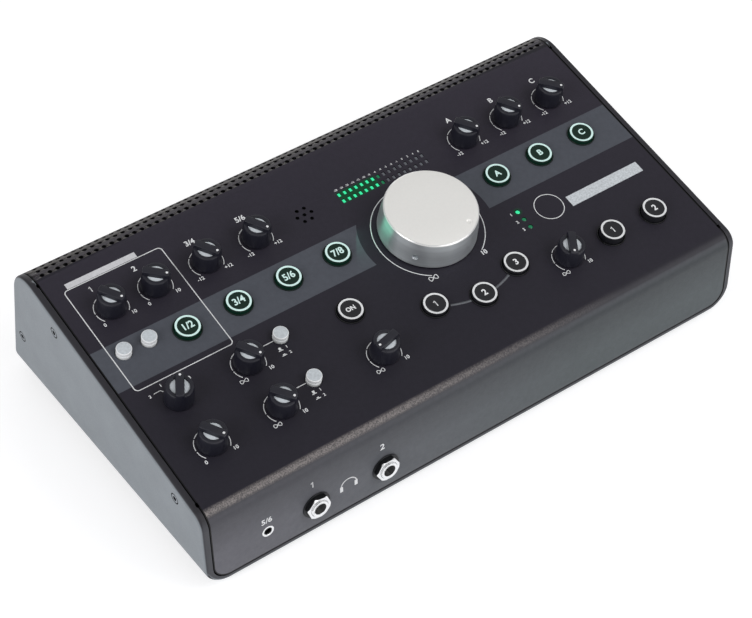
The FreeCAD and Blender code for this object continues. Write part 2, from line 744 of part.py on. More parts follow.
def case():
    shell = case_shell()
    notches = reliefs()
    screw_holes = side_screw_holes()
    inner = seam_prism("inner_prism", "-seam_gap / 2")
    outer = seam_prism("outer_prism", "seam_gap / 2")

    chassis_blank = cut("chassis_blank", shell, outer)
    chassis = cut("chassis", chassis_blank, notches, screw_holes, foot_screw_holes())
    node("bottom_chassis", chassis, Placement())

    cover_sheet = common("cover_sheet", shell, inner)
    cover_blank = join("cover_blank", [cover_sheet] + tabs())
    openings = [panel_openings(), front_openings(), rear_openings(), vents(), notches, screw_holes]
    node("top_cover", cut("cover", cover_blank, *openings), Placement())


# ---------------------------------------------------------------- feet and screws

def countersunk_screw():
    head = taper("head", "thread_radius - thread_clearance", "screw_head_radius", "-screw_head_height", "0")
    shank = rod("shank", "thread_radius - thread_clearance", "-screw_length", "-screw_head_height")
    socket = hexagon("socket", "2 * screw_socket_radius", "-screw_head_height / 2", "1")
    return cut("countersunk_screw", join("countersunk_blank", [head, shank]), socket)


def feet_and_screws():
    screw = countersunk_screw()
    side_screws = [across_case(copy_of(screw, "side_screw"), *spot) for spot in SIDE_SCREWS]
    node("side_screws", gather("side_screws", side_screws), Placement())

    feet = []
    foot_screws = []
    for x, y in FEET:
        foot = taper("foot", "0.9 * foot_radius", "foot_radius", "-foot_height", "0", x, y)
        recess = rod("foot_recess", "1.3 * screw_head_radius", "-foot_height - 1", "-foot_height / 2", x, y)
        bore = rod("foot_bore", "1.1 * thread_radius", "-foot_height", "1", x, y)
        feet.append(cut("foot_cut", foot, recess, bore))
        head = rod("foot_head", "screw_head_radius", "-0.9 * foot_height", "-foot_height / 2", x, y)
        shank = rod("foot_shank", "thread_radius", "-foot_height / 2", "screw_length / 2", x, y)
        foot_screws.append(join("foot_screw", [head, shank]))
    node("rubber_feet", gather("rubber_feet", feet), Placement())
    node("foot_screws", gather("foot_screws", foot_screws), Placement())


# ---------------------------------------------------------------- the volume control

def volume_knob():
    body = doc.addObject("PartDesign::Body", "volume_knob_body")
    bore = "shaft_radius + thread_clearance"
    corners = [
        (bore, "volume_hollow_top"),
        ("volume_hollow_radius", "volume_hollow_top"),
        ("volume_hollow_radius", "volume_gap"),
        ("volume_base_radius", "volume_gap"),
        ("volume_shoulder_radius", "volume_top - volume_bevel"),
        ("volume_shoulder_radius - volume_bevel", "volume_top"),
        ("0", "volume_top"),
        ("0", "volume_shaft_top"),
        (bore, "volume_shaft_top"),
    ]
    turning = body.newObject("PartDesign::Revolution", "volume_turning")
    turning.Profile = outline(body, "XZ_Plane", corners)
    turning.ReferenceAxis = (turning.Profile[0], ["V_Axis"])
    turning.Angle = 360

    dimple = doc.addObject("Part::Sphere", "dimple")
    ball_radius = "(dimple_radius ^ 2 + dimple_depth ^ 2) / (2 * dimple_depth)"
    bind(dimple, Radius=ball_radius)
    dimple.Placement = at(size("dimple_reach"))
    dimple.setExpression("Placement.Base.z", bound(f"volume_top - dimple_depth + {ball_radius}"))
    hole = radial("set_screw_hole", "thread_radius", "0", "volume_base_radius + 1")
    knob = cut("volume_knob", body, dimple, hole)
    return node("volume_knob", knob, PANEL, at(*VOLUME_PLACE, turn=size("volume_angle")))


def radial(name, radius, start, end):
    """A rod that points outwards from the volume knob's axis, at the grub screw's place."""
    turned = gather(name + "_turned", [rod(name, radius, start, end)])
    outward = Rotation(Z_AXIS, size("set_screw_angle")).multVec(X_AXIS)
    turned.Placement = Placement(Vector(0, 0, size("set_screw_height")), Rotation(Z_AXIS, outward))
    return turned


def volume_control():
    volume_knob()
    place = at(*VOLUME_PLACE, turn=size("volume_angle"))
    shaft = rod("long_shaft", "shaft_radius", "shaft_bottom", "volume_shaft_top - thread_clearance")
    node("volume_shaft", copy_of(shaft, "volume_shaft"), PANEL, place)
    grub = radial(
        "grub_screw", "thread_radius - thread_clearance", "shaft_radius + thread_clearance", "set_screw_end"
    )
    node("volume_set_screw", copy_of(grub, "volume_set_screw"), PANEL, place)

    can = rod("volume_can", "volume_pot_radius", "board_top", "volume_pot_top")
    bushing = rod("volume_bushing", "volume_bushing_radius", "volume_pot_top", "volume_bushing_top")
    bore = rod("volume_bore", "shaft_radius + thread_clearance", "switch_floor", "volume_bushing_top + 1")
    pot = cut("volume_pot", join("volume_pot_blank", [can, bushing]), bore)
    nut_blank = hexagon("volume_nut_blank", "volume_nut_flats", "0", "volume_nut_height")
    nut_radius = "volume_bushing_radius + thread_clearance"
    nut_bore = rod("volume_nut_bore", nut_radius, "-1", "volume_nut_height + 1")
    nut = cut("volume_nut", nut_blank, nut_bore)
    node("volume_potentiometer", gather("volume_potentiometer", [pot, nut]), PANEL, at(*VOLUME_PLACE))


# ---------------------------------------------------------------- the small knobs

def small_knob():
    """A tapered knob with a grip bar across it, two recessed crescents, and its shaft."""
    skirt = taper("skirt", "knob_base_radius", "knob_rim_radius", "knob_gap", "knob_rim_height")
    bar_body = doc.addObject("PartDesign::Body", "bar_body")
    corners = [
        ("-bar_foot_width / 2", "knob_floor_height"),
        ("bar_foot_width / 2", "knob_floor_height"),
        ("bar_top_width / 2", "knob_top_height"),
        ("-bar_top_width / 2", "knob_top_height"),
    ]
    pad(bar_body, "YZ_Plane", corners, "2 * knob_base_radius")
    bar_limit = taper(
        "bar_limit", "knob_base_radius", "0.97 * knob_rim_radius", "knob_gap", "knob_top_height + knob_gap"
    )
    bar = common("grip_bar", bar_body, bar_limit)
    dish = rod("dish", "crescent_radius", "knob_floor_height", "knob_top_height + 1")
    between = block("between", "2 * knob_base_radius", "bar_foot_width", "knob_gap", "knob_top_height + 2")
    crescents = cut("crescents", dish, between)
    bore = rod("knob_bore", "shaft_radius + thread_clearance", "0", "knob_shaft_top + thread_clearance")
    cap = cut("small_knob_cap", join("small_knob_blank", [skirt, bar]), crescents, bore)
    shaft = rod("small_shaft", "shaft_radius", "shaft_bottom", "knob_shaft_top")
    return gather("small_knob", [cap, shaft])


def small_potentiometer():
    can = block("pot_can", "pot_width", "pot_length", "board_top", "pot_top")
    bushing = rod("pot_bushing", "bushing_radius", "pot_top", "bushing_top")
    bore = rod("pot_bore", "shaft_radius + thread_clearance", "switch_floor", "1")
    return cut("small_potentiometer", join("pot_blank", [can, bushing]), bore)


def placed_copies(thing, name, places):
    """The same piece in several places on one face."""
    copies = []
    for x, y in places:
        piece = copy_of(thing, name)
        piece.Placement = at(x, y)
        copies.append(piece)
    return copies


def small_knobs():
    knob = small_knob()
    for label, (x, y, turn) in KNOBS.items():
        node(label, copy_of(knob, label), PANEL, at(x, y, turn=turn))
    places = [(x, y) for x, y, turn in KNOBS.values()]
    pots = placed_copies(small_potentiometer(), "small_pot", places)
    node("small_potentiometers", gather("small_potentiometers", pots), PANEL)


# ---------------------------------------------------------------- buttons and switches

def round_button(name, top):
    """A cap with a light ring let into its top, on a stem."""
    cap = rod(name + "_cap", "cap_radius", "cap_bottom", top)

    def top_edge(edge):
        return edge.Curve.TypeId == "Part::GeomCircle" and edge.BoundBox.ZMin > 1

    rounded = fillet(name + "_rounded", cap, "cap_round", top_edge)
    stem = rod(name + "_stem", "stem_radius", "stem_bottom", "cap_bottom")
    ring_bottom = f"{top} - light_depth"
    groove = tube(name + "_groove", "light_outer_radius", "light_inner_radius", ring_bottom, f"{top} + 1")
    ring = tube(name + "_ring", "light_outer_radius", "light_inner_radius", ring_bottom, top)
    return gather(name, [cut(name + "_body", join(name + "_blank", [rounded, stem]), groove), ring])


def push_cap():
    """A plain round cap with a groove round its waist, on a stem."""
    foot = rod("push_foot", "push_radius", "cap_bottom", "push_waist_bottom")
    waist = rod("push_waist", "push_waist_radius", "push_waist_bottom", "push_waist_top")
    head = rod("push_head", "push_radius", "push_waist_top", "push_height")
    stem = rod("push_stem", "stem_radius", "stem_bottom", "cap_bottom")
    return join("push_cap", [foot, waist, head, stem])


def switch_body():
    housing = block("switch_housing", "switch_width", "switch_width", "board_top", "switch_top")
    bore = rod("switch_bore", "stem_bore_radius", "switch_floor", "0")
    return cut("switch_body", housing, bore)


def bezel():
    flange = tube("bezel_flange", "bezel_outer_radius", "bezel_inner_radius", "0", "bezel_height")
    sleeve = tube("bezel_sleeve", "bezel_sleeve_radius", "bezel_inner_radius", "sleeve_bottom", "0")
    return join("bezel", [flange, sleeve])


def buttons():
    low = round_button("low_button", "cap_height")
    for label, (x, y) in LOW_BUTTONS.items():
        node(label, copy_of(low, label), PANEL, at(x, y))
    tall = round_button("tall_button", "tall_cap_height")
    for label, (x, y) in TALL_BUTTONS.items():
        node(label, copy_of(tall, label), PANEL, at(x, y))
    push = push_cap()
    for label, (x, y) in PUSH_SWITCHES.items():
        node(label, copy_of(push, label), PANEL, at(x, y))

    collars = placed_copies(bezel(), "collar", ROUND_BUTTONS.values())
    node("button_bezels", gather("button_bezels", collars), PANEL)
    places = list(ROUND_BUTTONS.values()) + list(PUSH_SWITCHES.values())
    switches = placed_copies(switch_body(), "switch", places)
    node("button_switches", gather("button_switches", switches), PANEL)


# ---------------------------------------------------------------- lights and microphone

def lights_and_microphone():
    width = "meter_width - 2 * light_clearance"
    length = "meter_length - 2 * light_clearance"
    lights = [block("meter_light", width, length, "board_top", "light_top", x, y) for x, y in METER]
    radius = "status_radius - light_clearance"
    lights += [rod("status_light", radius, "board_top", "light_top", x, y) for x, y in STATUS]
    node("indicator_leds", gather("indicator_leds", lights), PANEL)

    capsule = rod("capsule", "mic_radius", "-sheet_metal - mic_height", "-sheet_metal")
    node("microphone", copy_of(capsule, "microphone"), PANEL, at(size("mic_column"), size("mic_row")))


# ---------------------------------------------------------------- sockets

def plug_socket(name, reach):
    """A 6.35 mm socket whose threaded bushing comes out through its face."""
    body = block(name + "_body", "socket_body_width", "socket_body_width", "-socket_depth", "-sheet_metal")
    bushing = rod(name + "_bushing", "thread_ring_radius", "-sheet_metal", reach)
    bore = rod(name + "_bore", "plug_radius", "-plug_depth", f"{reach} + 1")
    return cut(name, join(name + "_blank", [body, bushing]), bore)


def nut(name, flats, corner_radius, bottom, top):
    blank = hexagon(name + "_blank", flats, bottom, top)
    turned = common(name + "_turned", blank, rod(name + "_limit", corner_radius, bottom, top))
    bore = rod(name + "_bore", "thread_ring_radius + thread_clearance", "-1", f"{top} + 1")
    return cut(name, turned, bore)


def front_sockets():
    sockets = placed_copies(plug_socket("phones_socket", "bushing_reach"), "phones_jack", PHONES)
    node("headphone_jacks", gather("headphone_jacks", sockets), FRONT)
    washer = tube("washer", "washer_radius", "thread_ring_radius + thread_clearance", "0", "washer_height")
    washers = placed_copies(washer, "phones_washer", PHONES)
    node("headphone_washers", gather("headphone_washers", washers), FRONT)
    nut_top = "washer_height + nut_height"
    phones_nut = nut("phones_nut", "nut_flats", "nut_corner_radius", "washer_height", nut_top)
    nuts = placed_copies(phones_nut, "phones_nut", PHONES)
    node("headphone_nuts", gather("headphone_nuts", nuts), FRONT)

    back = block("mini_back", "mini_body_width", "mini_body_width", "-mini_body_depth", "-sheet_metal")
    ring = rod("mini_ring", "mini_ring_radius", "-sheet_metal", "0")
    bore = rod("mini_bore", "mini_plug_radius", "-mini_plug_depth", "1")
    mini = cut("mini_socket", join("mini_blank", [back, ring]), bore)
    mini_place = at(size("mini_across"), size("front_socket_up"))
    node("stereo_input_jack", copy_of(mini, "stereo_input_jack"), FRONT, mini_place)


def combo_input():
    """A round input for both kinds of plug, on a rectangular flange."""
    flange = block("combo_flange", "combo_flange_width", "combo_flange_length", "0", "combo_flange_height")
    barrel = rod("combo_barrel", "combo_radius", "-socket_depth", "0")
    bore = rod("combo_bore", "plug_radius", "-plug_depth", "combo_flange_height + 1")
    pins = []
    for angle in (90, 210, 330):
        spot = Rotation(Z_AXIS, angle).multVec(X_AXIS * size("combo_pin_reach"))
        pin = rod(
            "combo_pin", "combo_pin_radius", "-plug_depth / 2", "combo_flange_height + 1", spot.x, spot.y
        )
        pins.append(pin)
    return cut("combo_input", join("combo_blank", [flange, barrel]), bore, *pins)


def rear_sockets():
    node("combo_inputs", gather("combo_inputs", placed_copies(combo_input(), "combo", COMBOS)), REAR)
    sockets = placed_copies(plug_socket("line_socket", "rear_nut_height"), "line_jack", LINE_JACKS)
    node("line_jacks", gather("line_jacks", sockets), REAR)
    line_nut = nut("line_nut", "rear_nut_flats", "rear_nut_flats", "0", "rear_nut_height")
    node("line_jack_nuts", gather("line_jack_nuts", placed_copies(line_nut, "line_nut", LINE_JACKS)), REAR)

    shell_width = "usb_width + 2 * usb_wall"
    shell_height = "usb_opening + 2 * usb_wall"
    usb_shell = block("usb_shell", shell_width, shell_height, "-socket_depth", "0")
    usb_mouth = block("usb_mouth", "usb_width", "usb_opening", "-usb_depth", "1")
    usb_tongue = block("usb_tongue", "0.7 * usb_width", "0.25 * usb_opening", "-usb_depth", "-usb_wall")
    usb = join("usb", [cut("usb_blank", usb_shell, usb_mouth), usb_tongue])
    node("usb_socket", copy_of(usb, "usb_socket"), REAR, at(size("usb_across"), size("service_row")))

    barrel = rod("inlet_barrel", "inlet_radius", "-socket_depth", "0")
    bore = rod("inlet_bore", "inlet_bore_radius", "-inlet_bore_depth", "1")
    pin = rod("inlet_pin", "inlet_pin_radius", "-inlet_bore_depth", "-usb_wall")
    inlet = join("inlet", [cut("inlet_blank", barrel, bore), pin])
    node("power_inlet", copy_of(inlet, "power_inlet"), REAR, at(size("inlet_across"), size("service_row")))


def power_button():
    cap = rod("power_cap", "power_radius", "cap_bottom", "power_reach")
    stem = rod("power_stem", "stem_radius", "stem_bottom", "cap_bottom")
    button = join("power", [cap, stem])
    place = at(size("power_across"), size("service_row"))
    node("power_button", copy_of(button, "power_button"), REAR, place)
    housing = block("power_housing", "switch_width", "switch_width", "-socket_depth", "switch_top")
    bore = rod("power_bore", "stem_bore_radius", "switch_floor", "0")
    node("power_switch", copy_of(cut("power_housing_cut", housing, bore), "power_switch"), REAR, place)


# ---------------------------------------------------------------- boards

def boards():
    bottom = "board_top - board_thickness"
    main = block("main_plate", "board_length", "board_width", bottom, "board_top", 0, size("board_middle"))
    screw_bores = [rod("board_hole", "thread_radius", "board_top - 3", "0", x, y) for x, y in SPACERS]
    node("main_board", cut("main_board", main, *screw_bores), PANEL)

    spacers = []
    screws = []
    for x, y in SPACERS:
        post = hexagon("post", "2 * spacer_radius", "board_top", "-sheet_metal", x, y)
        post_bore = rod("post_bore", "thread_radius", "board_top - 1", "board_screw_top + 1", x, y)
        spacers.append(cut("spacer", post, post_bore))
        shank = rod("shank", "thread_radius - thread_clearance", bottom, "board_screw_top", x, y)
        head = rod("pan_head", "pan_head_radius", f"{bottom} - pan_head_height", bottom, x, y)
        screws.append(join("board_screw", [shank, head]))
    node("board_mounts", gather("board_mounts", spacers + screws), PANEL)

    rear_middle = size("jack_low_row") + size("jack_row_rise") / 2
    rear = block(
        "rear_plate", "rear_board_length", "rear_board_width",
        "-socket_depth - board_thickness", "-socket_depth", 0, rear_middle,
    )
    node("rear_board", copy_of(rear, "rear_board"), REAR)

    front_top = size("front_socket_up") - size("socket_body_width") / 2
    front_middle = size("front_board_middle")
    front_up = front_top - size("board_thickness") / 2
    front = block(
        "front_plate", "front_board_length", "board_thickness",
        "-socket_depth", "-2 * sheet_metal", front_middle, front_up,
    )
    node("front_board", copy_of(front, "front_board"), FRONT)


def ribbon_cable():
    """A flat cable that hangs from the main board and turns back to the rear board."""
    board_back = size("board_middle") + size("board_width") / 2
    under_board = size("board_top") - size("board_thickness")
    start = PANEL.multVec(Vector(0, board_back - 4 * size("ribbon_bend"), under_board))
    rear_face = -size("socket_depth") - size("board_thickness")
    foot = REAR.multVec(Vector(0, size("jack_low_row"), rear_face))
    end = foot - Y_AXIS * size("ribbon_thickness") * math.tan(math.radians(LEAN))
    corner = Vector(0, start.y, end.z)
    bend = size("ribbon_bend")
    arc_start = corner + Vector(0, 0, bend)
    arc_end = corner + Vector(0, bend, 0)
    arc_middle = corner + Vector(0, bend, bend) * (1 - math.sqrt(0.5))
    path = Part.Wire([
        Part.LineSegment(start, arc_start).toShape(),
        Part.Arc(arc_start, arc_middle, arc_end).toShape(),
        Part.LineSegment(arc_end, end).toShape(),
    ])
    ribbon = path.makeOffset2D(-size("ribbon_thickness"), openResult=True, fill=True)
    thing = doc.addObject("Part::Feature", "ribbon")
    thing.Shape = ribbon.extrude(X_AXIS * size("ribbon_width"))
    node("ribbon_cable", thing, Placement(), at(-size("ribbon_width") / 2))


# ---------------------------------------------------------------- the whole object

def check_and_export():
    doc.recompute()
    failed = [item.Name for item in doc.Objects if {"Invalid", "Error"} & set(item.State)]
    if failed:
        raise RuntimeError(f"failed objects: {failed}")
    os.makedirs("parts", exist_ok=True)
    for thing in NODES:
        if thing.Shape.isNull() or not thing.Shape.isValid() or not thing.Shape.Solids:
            raise RuntimeError(f"{thing.Label} has no valid solid")
        thing.Shape.exportStep(f"parts/{thing.Label}.step")
        print(f"{thing.Label}: {len(thing.Shape.Solids)} solids, {thing.Shape.Volume:.0f} mm3")


case()
feet_and_screws()
volume_control()
small_knobs()
buttons()
lights_and_microphone()
front_sockets()
rear_sockets()
power_button()
boards()
ribbon_cable()
check_and_export()
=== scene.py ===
"""A studio monitor controller on a pale studio floor: the finish of every piece of its frame."""

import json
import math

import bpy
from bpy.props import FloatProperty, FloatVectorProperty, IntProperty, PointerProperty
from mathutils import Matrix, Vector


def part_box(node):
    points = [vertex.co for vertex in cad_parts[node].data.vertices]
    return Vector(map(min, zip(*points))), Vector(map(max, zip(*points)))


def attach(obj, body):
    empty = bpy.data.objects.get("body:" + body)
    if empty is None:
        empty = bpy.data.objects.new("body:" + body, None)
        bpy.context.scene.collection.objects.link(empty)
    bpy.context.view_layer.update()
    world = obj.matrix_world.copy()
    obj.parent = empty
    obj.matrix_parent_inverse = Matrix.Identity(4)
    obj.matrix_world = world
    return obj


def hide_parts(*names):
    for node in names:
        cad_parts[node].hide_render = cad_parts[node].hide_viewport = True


bl_info = {
    "name": "Studio Monitor Controller",
    "version": (1, 0, 0),
    "blender": (4, 5, 0),
    "location": "View3D > Sidebar > Controller",
    "description": "Builds the finished pieces of a desktop studio monitor controller on its frame",
    "category": "Object",
}

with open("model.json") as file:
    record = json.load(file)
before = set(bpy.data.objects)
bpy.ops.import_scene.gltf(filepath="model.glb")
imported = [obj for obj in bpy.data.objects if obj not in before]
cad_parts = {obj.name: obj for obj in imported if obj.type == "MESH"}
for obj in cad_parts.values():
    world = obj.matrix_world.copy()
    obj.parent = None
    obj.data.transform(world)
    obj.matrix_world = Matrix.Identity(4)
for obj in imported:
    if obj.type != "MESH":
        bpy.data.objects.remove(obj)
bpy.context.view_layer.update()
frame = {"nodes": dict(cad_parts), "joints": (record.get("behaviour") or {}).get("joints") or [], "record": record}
bpy.ops.object.select_all(action="DESELECT")

MM = 0.001
NODES = frame["nodes"]
JOINTS = {joint["name"]: joint for joint in frame["joints"]}
MOUNTS = {mount["name"]: mount for mount in frame["record"]["mounts"]}
X_AXIS = Vector((1, 0, 0))

# ---------------------------------------------------------------- the case's faces, from the frame


def face_frame(origin, across, outward):
    """A place whose x runs across a face, y up it and z out of it."""
    x, z = Vector(across).normalized(), Vector(outward).normalized()
    turn = Matrix((x, z.cross(x), z)).transposed().to_4x4()
    return Matrix.Translation(origin) @ turn


COVER_LOW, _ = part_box("top_cover")
CHASSIS_LOW, CHASSIS_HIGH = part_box("bottom_chassis")
CASE_HALF_WIDTH = CHASSIS_HIGH.x
PANEL_NORMAL = Vector(JOINTS["volume_turn"]["axis"])
VOLUME_AXIS = Vector(JOINTS["volume_turn"]["pos_m"])
FRONT_EDGE_HEIGHT = VOLUME_AXIS.z - PANEL_NORMAL.y * (COVER_LOW.y - VOLUME_AXIS.y) / PANEL_NORMAL.z
PANEL = face_frame((0, COVER_LOW.y, FRONT_EDGE_HEIGHT), X_AXIS, PANEL_NORMAL)
FRONT = face_frame((0, COVER_LOW.y, CHASSIS_LOW.z), X_AXIS, (0, -1, 0))
REAR_NORMAL = -Vector(JOINTS["power_press"]["axis"])
REAR = face_frame((0, CHASSIS_HIGH.y, CHASSIS_LOW.z), -X_AXIS, REAR_NORMAL)


def on_face(face, x, y, z=0.0, turn=0.0):
    """A place on a face in millimetres, turned about its normal by degrees."""
    spin = Matrix.Rotation(math.radians(turn), 4, "Z")
    return face @ Matrix.Translation((x * MM, y * MM, z * MM)) @ spin


def spot(face, node):
    """The middle of a node on a face, in millimetres across and up."""
    into = face.inverted()
    points = [into @ vertex.co for vertex in NODES[node].data.vertices]
    sides = [[point[axis] for point in points] for axis in (0, 1)]
    return [(min(side) + max(side)) / 2 / MM for side in sides]


def mount_spot(face, name):
    """A mount's place on a face, in millimetres across and up."""
    point = face.inverted() @ Vector(MOUNTS[name]["pos_m"])
    return point.x / MM, point.y / MM


# ---------------------------------------------------------------- what a user would change


def linear(hex_colour):
    """An sRGB hex colour as the linear colour that a shader takes."""
    channels = [int(hex_colour[start:start + 2], 16) / 255 for start in (0, 2, 4)]
    return [c / 12.92 if c <= 0.04045 else ((c + 0.055) / 1.055) ** 2.4 for c in channels] + [1.0]


def length(name, description, millimetres):
    """A length that a user can change."""
    return FloatProperty(
        name=name, description=description, default=millimetres * MM, precision=5,
        subtype="DISTANCE", unit="LENGTH",
    )


def colour(name, description, hex_colour):
    """A colour that a user can change."""
    return FloatVectorProperty(
        name=name, description=description, default=linear(hex_colour), size=4, min=0, max=1,
        subtype="COLOR",
    )


class ControllerSizes(bpy.types.PropertyGroup):
    """Printed areas, lights and lens of the controller."""

    band_low: length("Band foot", "Lower edge of the grey bands, up the slope", 78.9)
    band_high: length("Band top", "Upper edge of the grey bands, up the slope", 104.6)
    band_clear: length("Band gap", "Radius of the dark area round the volume knob", 35.9)
    arc_radius: length("Arc radius", "Printed arcs round the small knobs", 8.55)
    ring_radius: length("Ring radius", "Printed ring round the volume knob", 29.1)
    ink_width: length("Line width", "Width of the printed lines", 0.5)
    ink_height: length("Ink height", "How far the print stands on the paint", 0.04)
    lit_lights: IntProperty(
        name="Lit lights", description="Lights of each meter row that are on", default=7, min=0, max=16,
    )
    focal_length: FloatProperty(
        name="Focal length", description="Lens of the camera, for a sensor 36 mm wide",
        default=99.33, min=1,
    )


class ControllerColours(bpy.types.PropertyGroup):
    """Colours of the controller's finishes."""

    panel: colour("Panel", "Powder coat of the cover", "211f28")
    band: colour("Bands", "Grey printed bands", "4b4e56")
    # painted light: the sides' mid grey stands for the light and reflections that the dark paint catches there
    side: colour("Sides", "Powder coat of the chassis sides", "848a90")
    rim: colour("Rim", "Powder coat of the chassis rim", "2b2a2f")
    # painted light: the front face's paler grey stands for the light and reflections that the dark paint catches
    # there
    front: colour("Front", "Powder coat of the front face", "65656c")
    knob: colour("Small knobs", "Moulded plastic of the small knobs", "171722")
    ink: colour("Ink", "White print", "e4e5e7")
    lit: colour("Lit ring", "Light of a switched-on button", "d2f0ec")
    light: colour("Lights", "Light of the meter", "34e29e")
    metal: colour("Volume knob", "Anodised aluminium", "f0efec")


def sizes():
    return bpy.context.scene.controller_sizes


def colours():
    return bpy.context.scene.controller_colours


# ---------------------------------------------------------------- materials


def add_node(tree, kind, inputs=None, **settings):
    """Add a node with its settings, and fill its inputs, by name or number, with values or links.

    Another node given as a value stands for the first of its outputs that is in use.
    """
    node = tree.nodes.new("ShaderNode" + kind)
    for name, value in settings.items():
        setattr(node, name, value)
    sockets = {socket.name: socket for socket in node.inputs if socket.enabled}
    sockets.update(enumerate(node.inputs))
    for key, value in (inputs or {}).items():
        if isinstance(value, bpy.types.Node):
            value = next(output for output in value.outputs if output.enabled)
        if isinstance(value, bpy.types.NodeSocket):
            tree.links.new(value, sockets[key])
        else:
            sockets[key].default_value = value
    return node


def start_material(name):
    """A material with an empty tree, that tree, and the texture coordinates of the piece."""
    material = bpy.data.materials.new(name)
    material.use_nodes = True
    tree = material.node_tree
    tree.nodes.clear()
    return material, tree, add_node(tree, "TexCoord").outputs


def end_material(tree, tone, roughness, height, depth, **sockets):
    """The shader of a tone and roughness, with bumps of a depth in millimetres."""
    bump = add_node(tree, "Bump", {"Height": height, "Distance": depth * MM})
    inputs = {"Base Color": tone, "Roughness": roughness, "Normal": bump}
    inputs.update({name.replace("_", " "): value for name, value in sockets.items()})
    shader = add_node(tree, "BsdfPrincipled", inputs)
    add_node(tree, "OutputMaterial", {"Surface": shader})


# how far the grain moves a surface's roughness either way
ROUGHNESS_SWING = 0.05


def surface(tree, place, tone, roughness, grain, depth, cloud=6.0, mottle=0.08, **sockets):
    """A surface that drifts in tone over clouds and is roughened by a grain, both in millimetres."""
    broad, fine = [
        add_node(tree, "TexNoise", {"Vector": place, "Scale": 1 / (size * MM), "Detail": detail})
        for size, detail in ((cloud, 5.0), (grain, 2.0))
    ]
    drift, gloss = [
        add_node(tree, "MapRange", {
            "Value": noise, "From Min": 0.3, "From Max": 0.7,
            "To Min": middle - half, "To Max": middle + half,
        })
        for noise, middle, half in ((broad, 1.0, mottle), (fine, roughness, ROUGHNESS_SWING))
    ]
    shade = add_node(tree, "VectorMath", {0: tone, "Scale": drift}, operation="SCALE")
    end_material(tree, shade, gloss, fine, depth, **sockets)


def in_place(tree, coordinates, place):
    """Coordinates in a place: the vector without its z, and the three values."""
    turns = {"Vector": coordinates["Object"], "Location": place.translation, "Rotation": place.to_euler()}
    vector = add_node(tree, "Mapping", turns, vector_type="TEXTURE")
    flat = add_node(tree, "VectorMath", {0: vector, 1: (1, 1, 0)}, operation="MULTIPLY")
    return flat, add_node(tree, "SeparateXYZ", {"Vector": vector}).outputs


def plain_finish(name, tone, roughness, grain, depth, **details):
    """A finish of one colour: a moulding, a coating, a plating or an ink."""
    material, tree, coordinates = start_material(name)
    tone = linear(tone) if isinstance(tone, str) else tone
    surface(tree, coordinates["Object"], tone[:3], roughness, grain, depth, **details)
    return material


# the cover's cut edge in millimetres: half its width, its foot, the radius of its corners, and the width of
# the black line of painted seam shade along it
EDGE_HALF_WIDTH, EDGE_FOOT, EDGE_CORNER, EDGE_LINE = 158.05, 6.65, 9.0, 0.6
# the outer skin of the panel's sheet, which takes the bands and the lights' painted glow
PANEL_SKIN = 0.6
# real grit is about 0.2 mm, drawn coarser so that it shows
GRIT = 0.7
# where the status lights stand, and the middle and half the spread of the lit part of the meter, which the
# painted glow covers
STATUS_PLACES = ((72.85, 69.7), (72.85, 64.3), (72.85, 58.9))
METER_GLOW_MIDDLE, METER_GLOW_HALF = (10.3, 122.6, 0), (11.1, 3.2, 0)


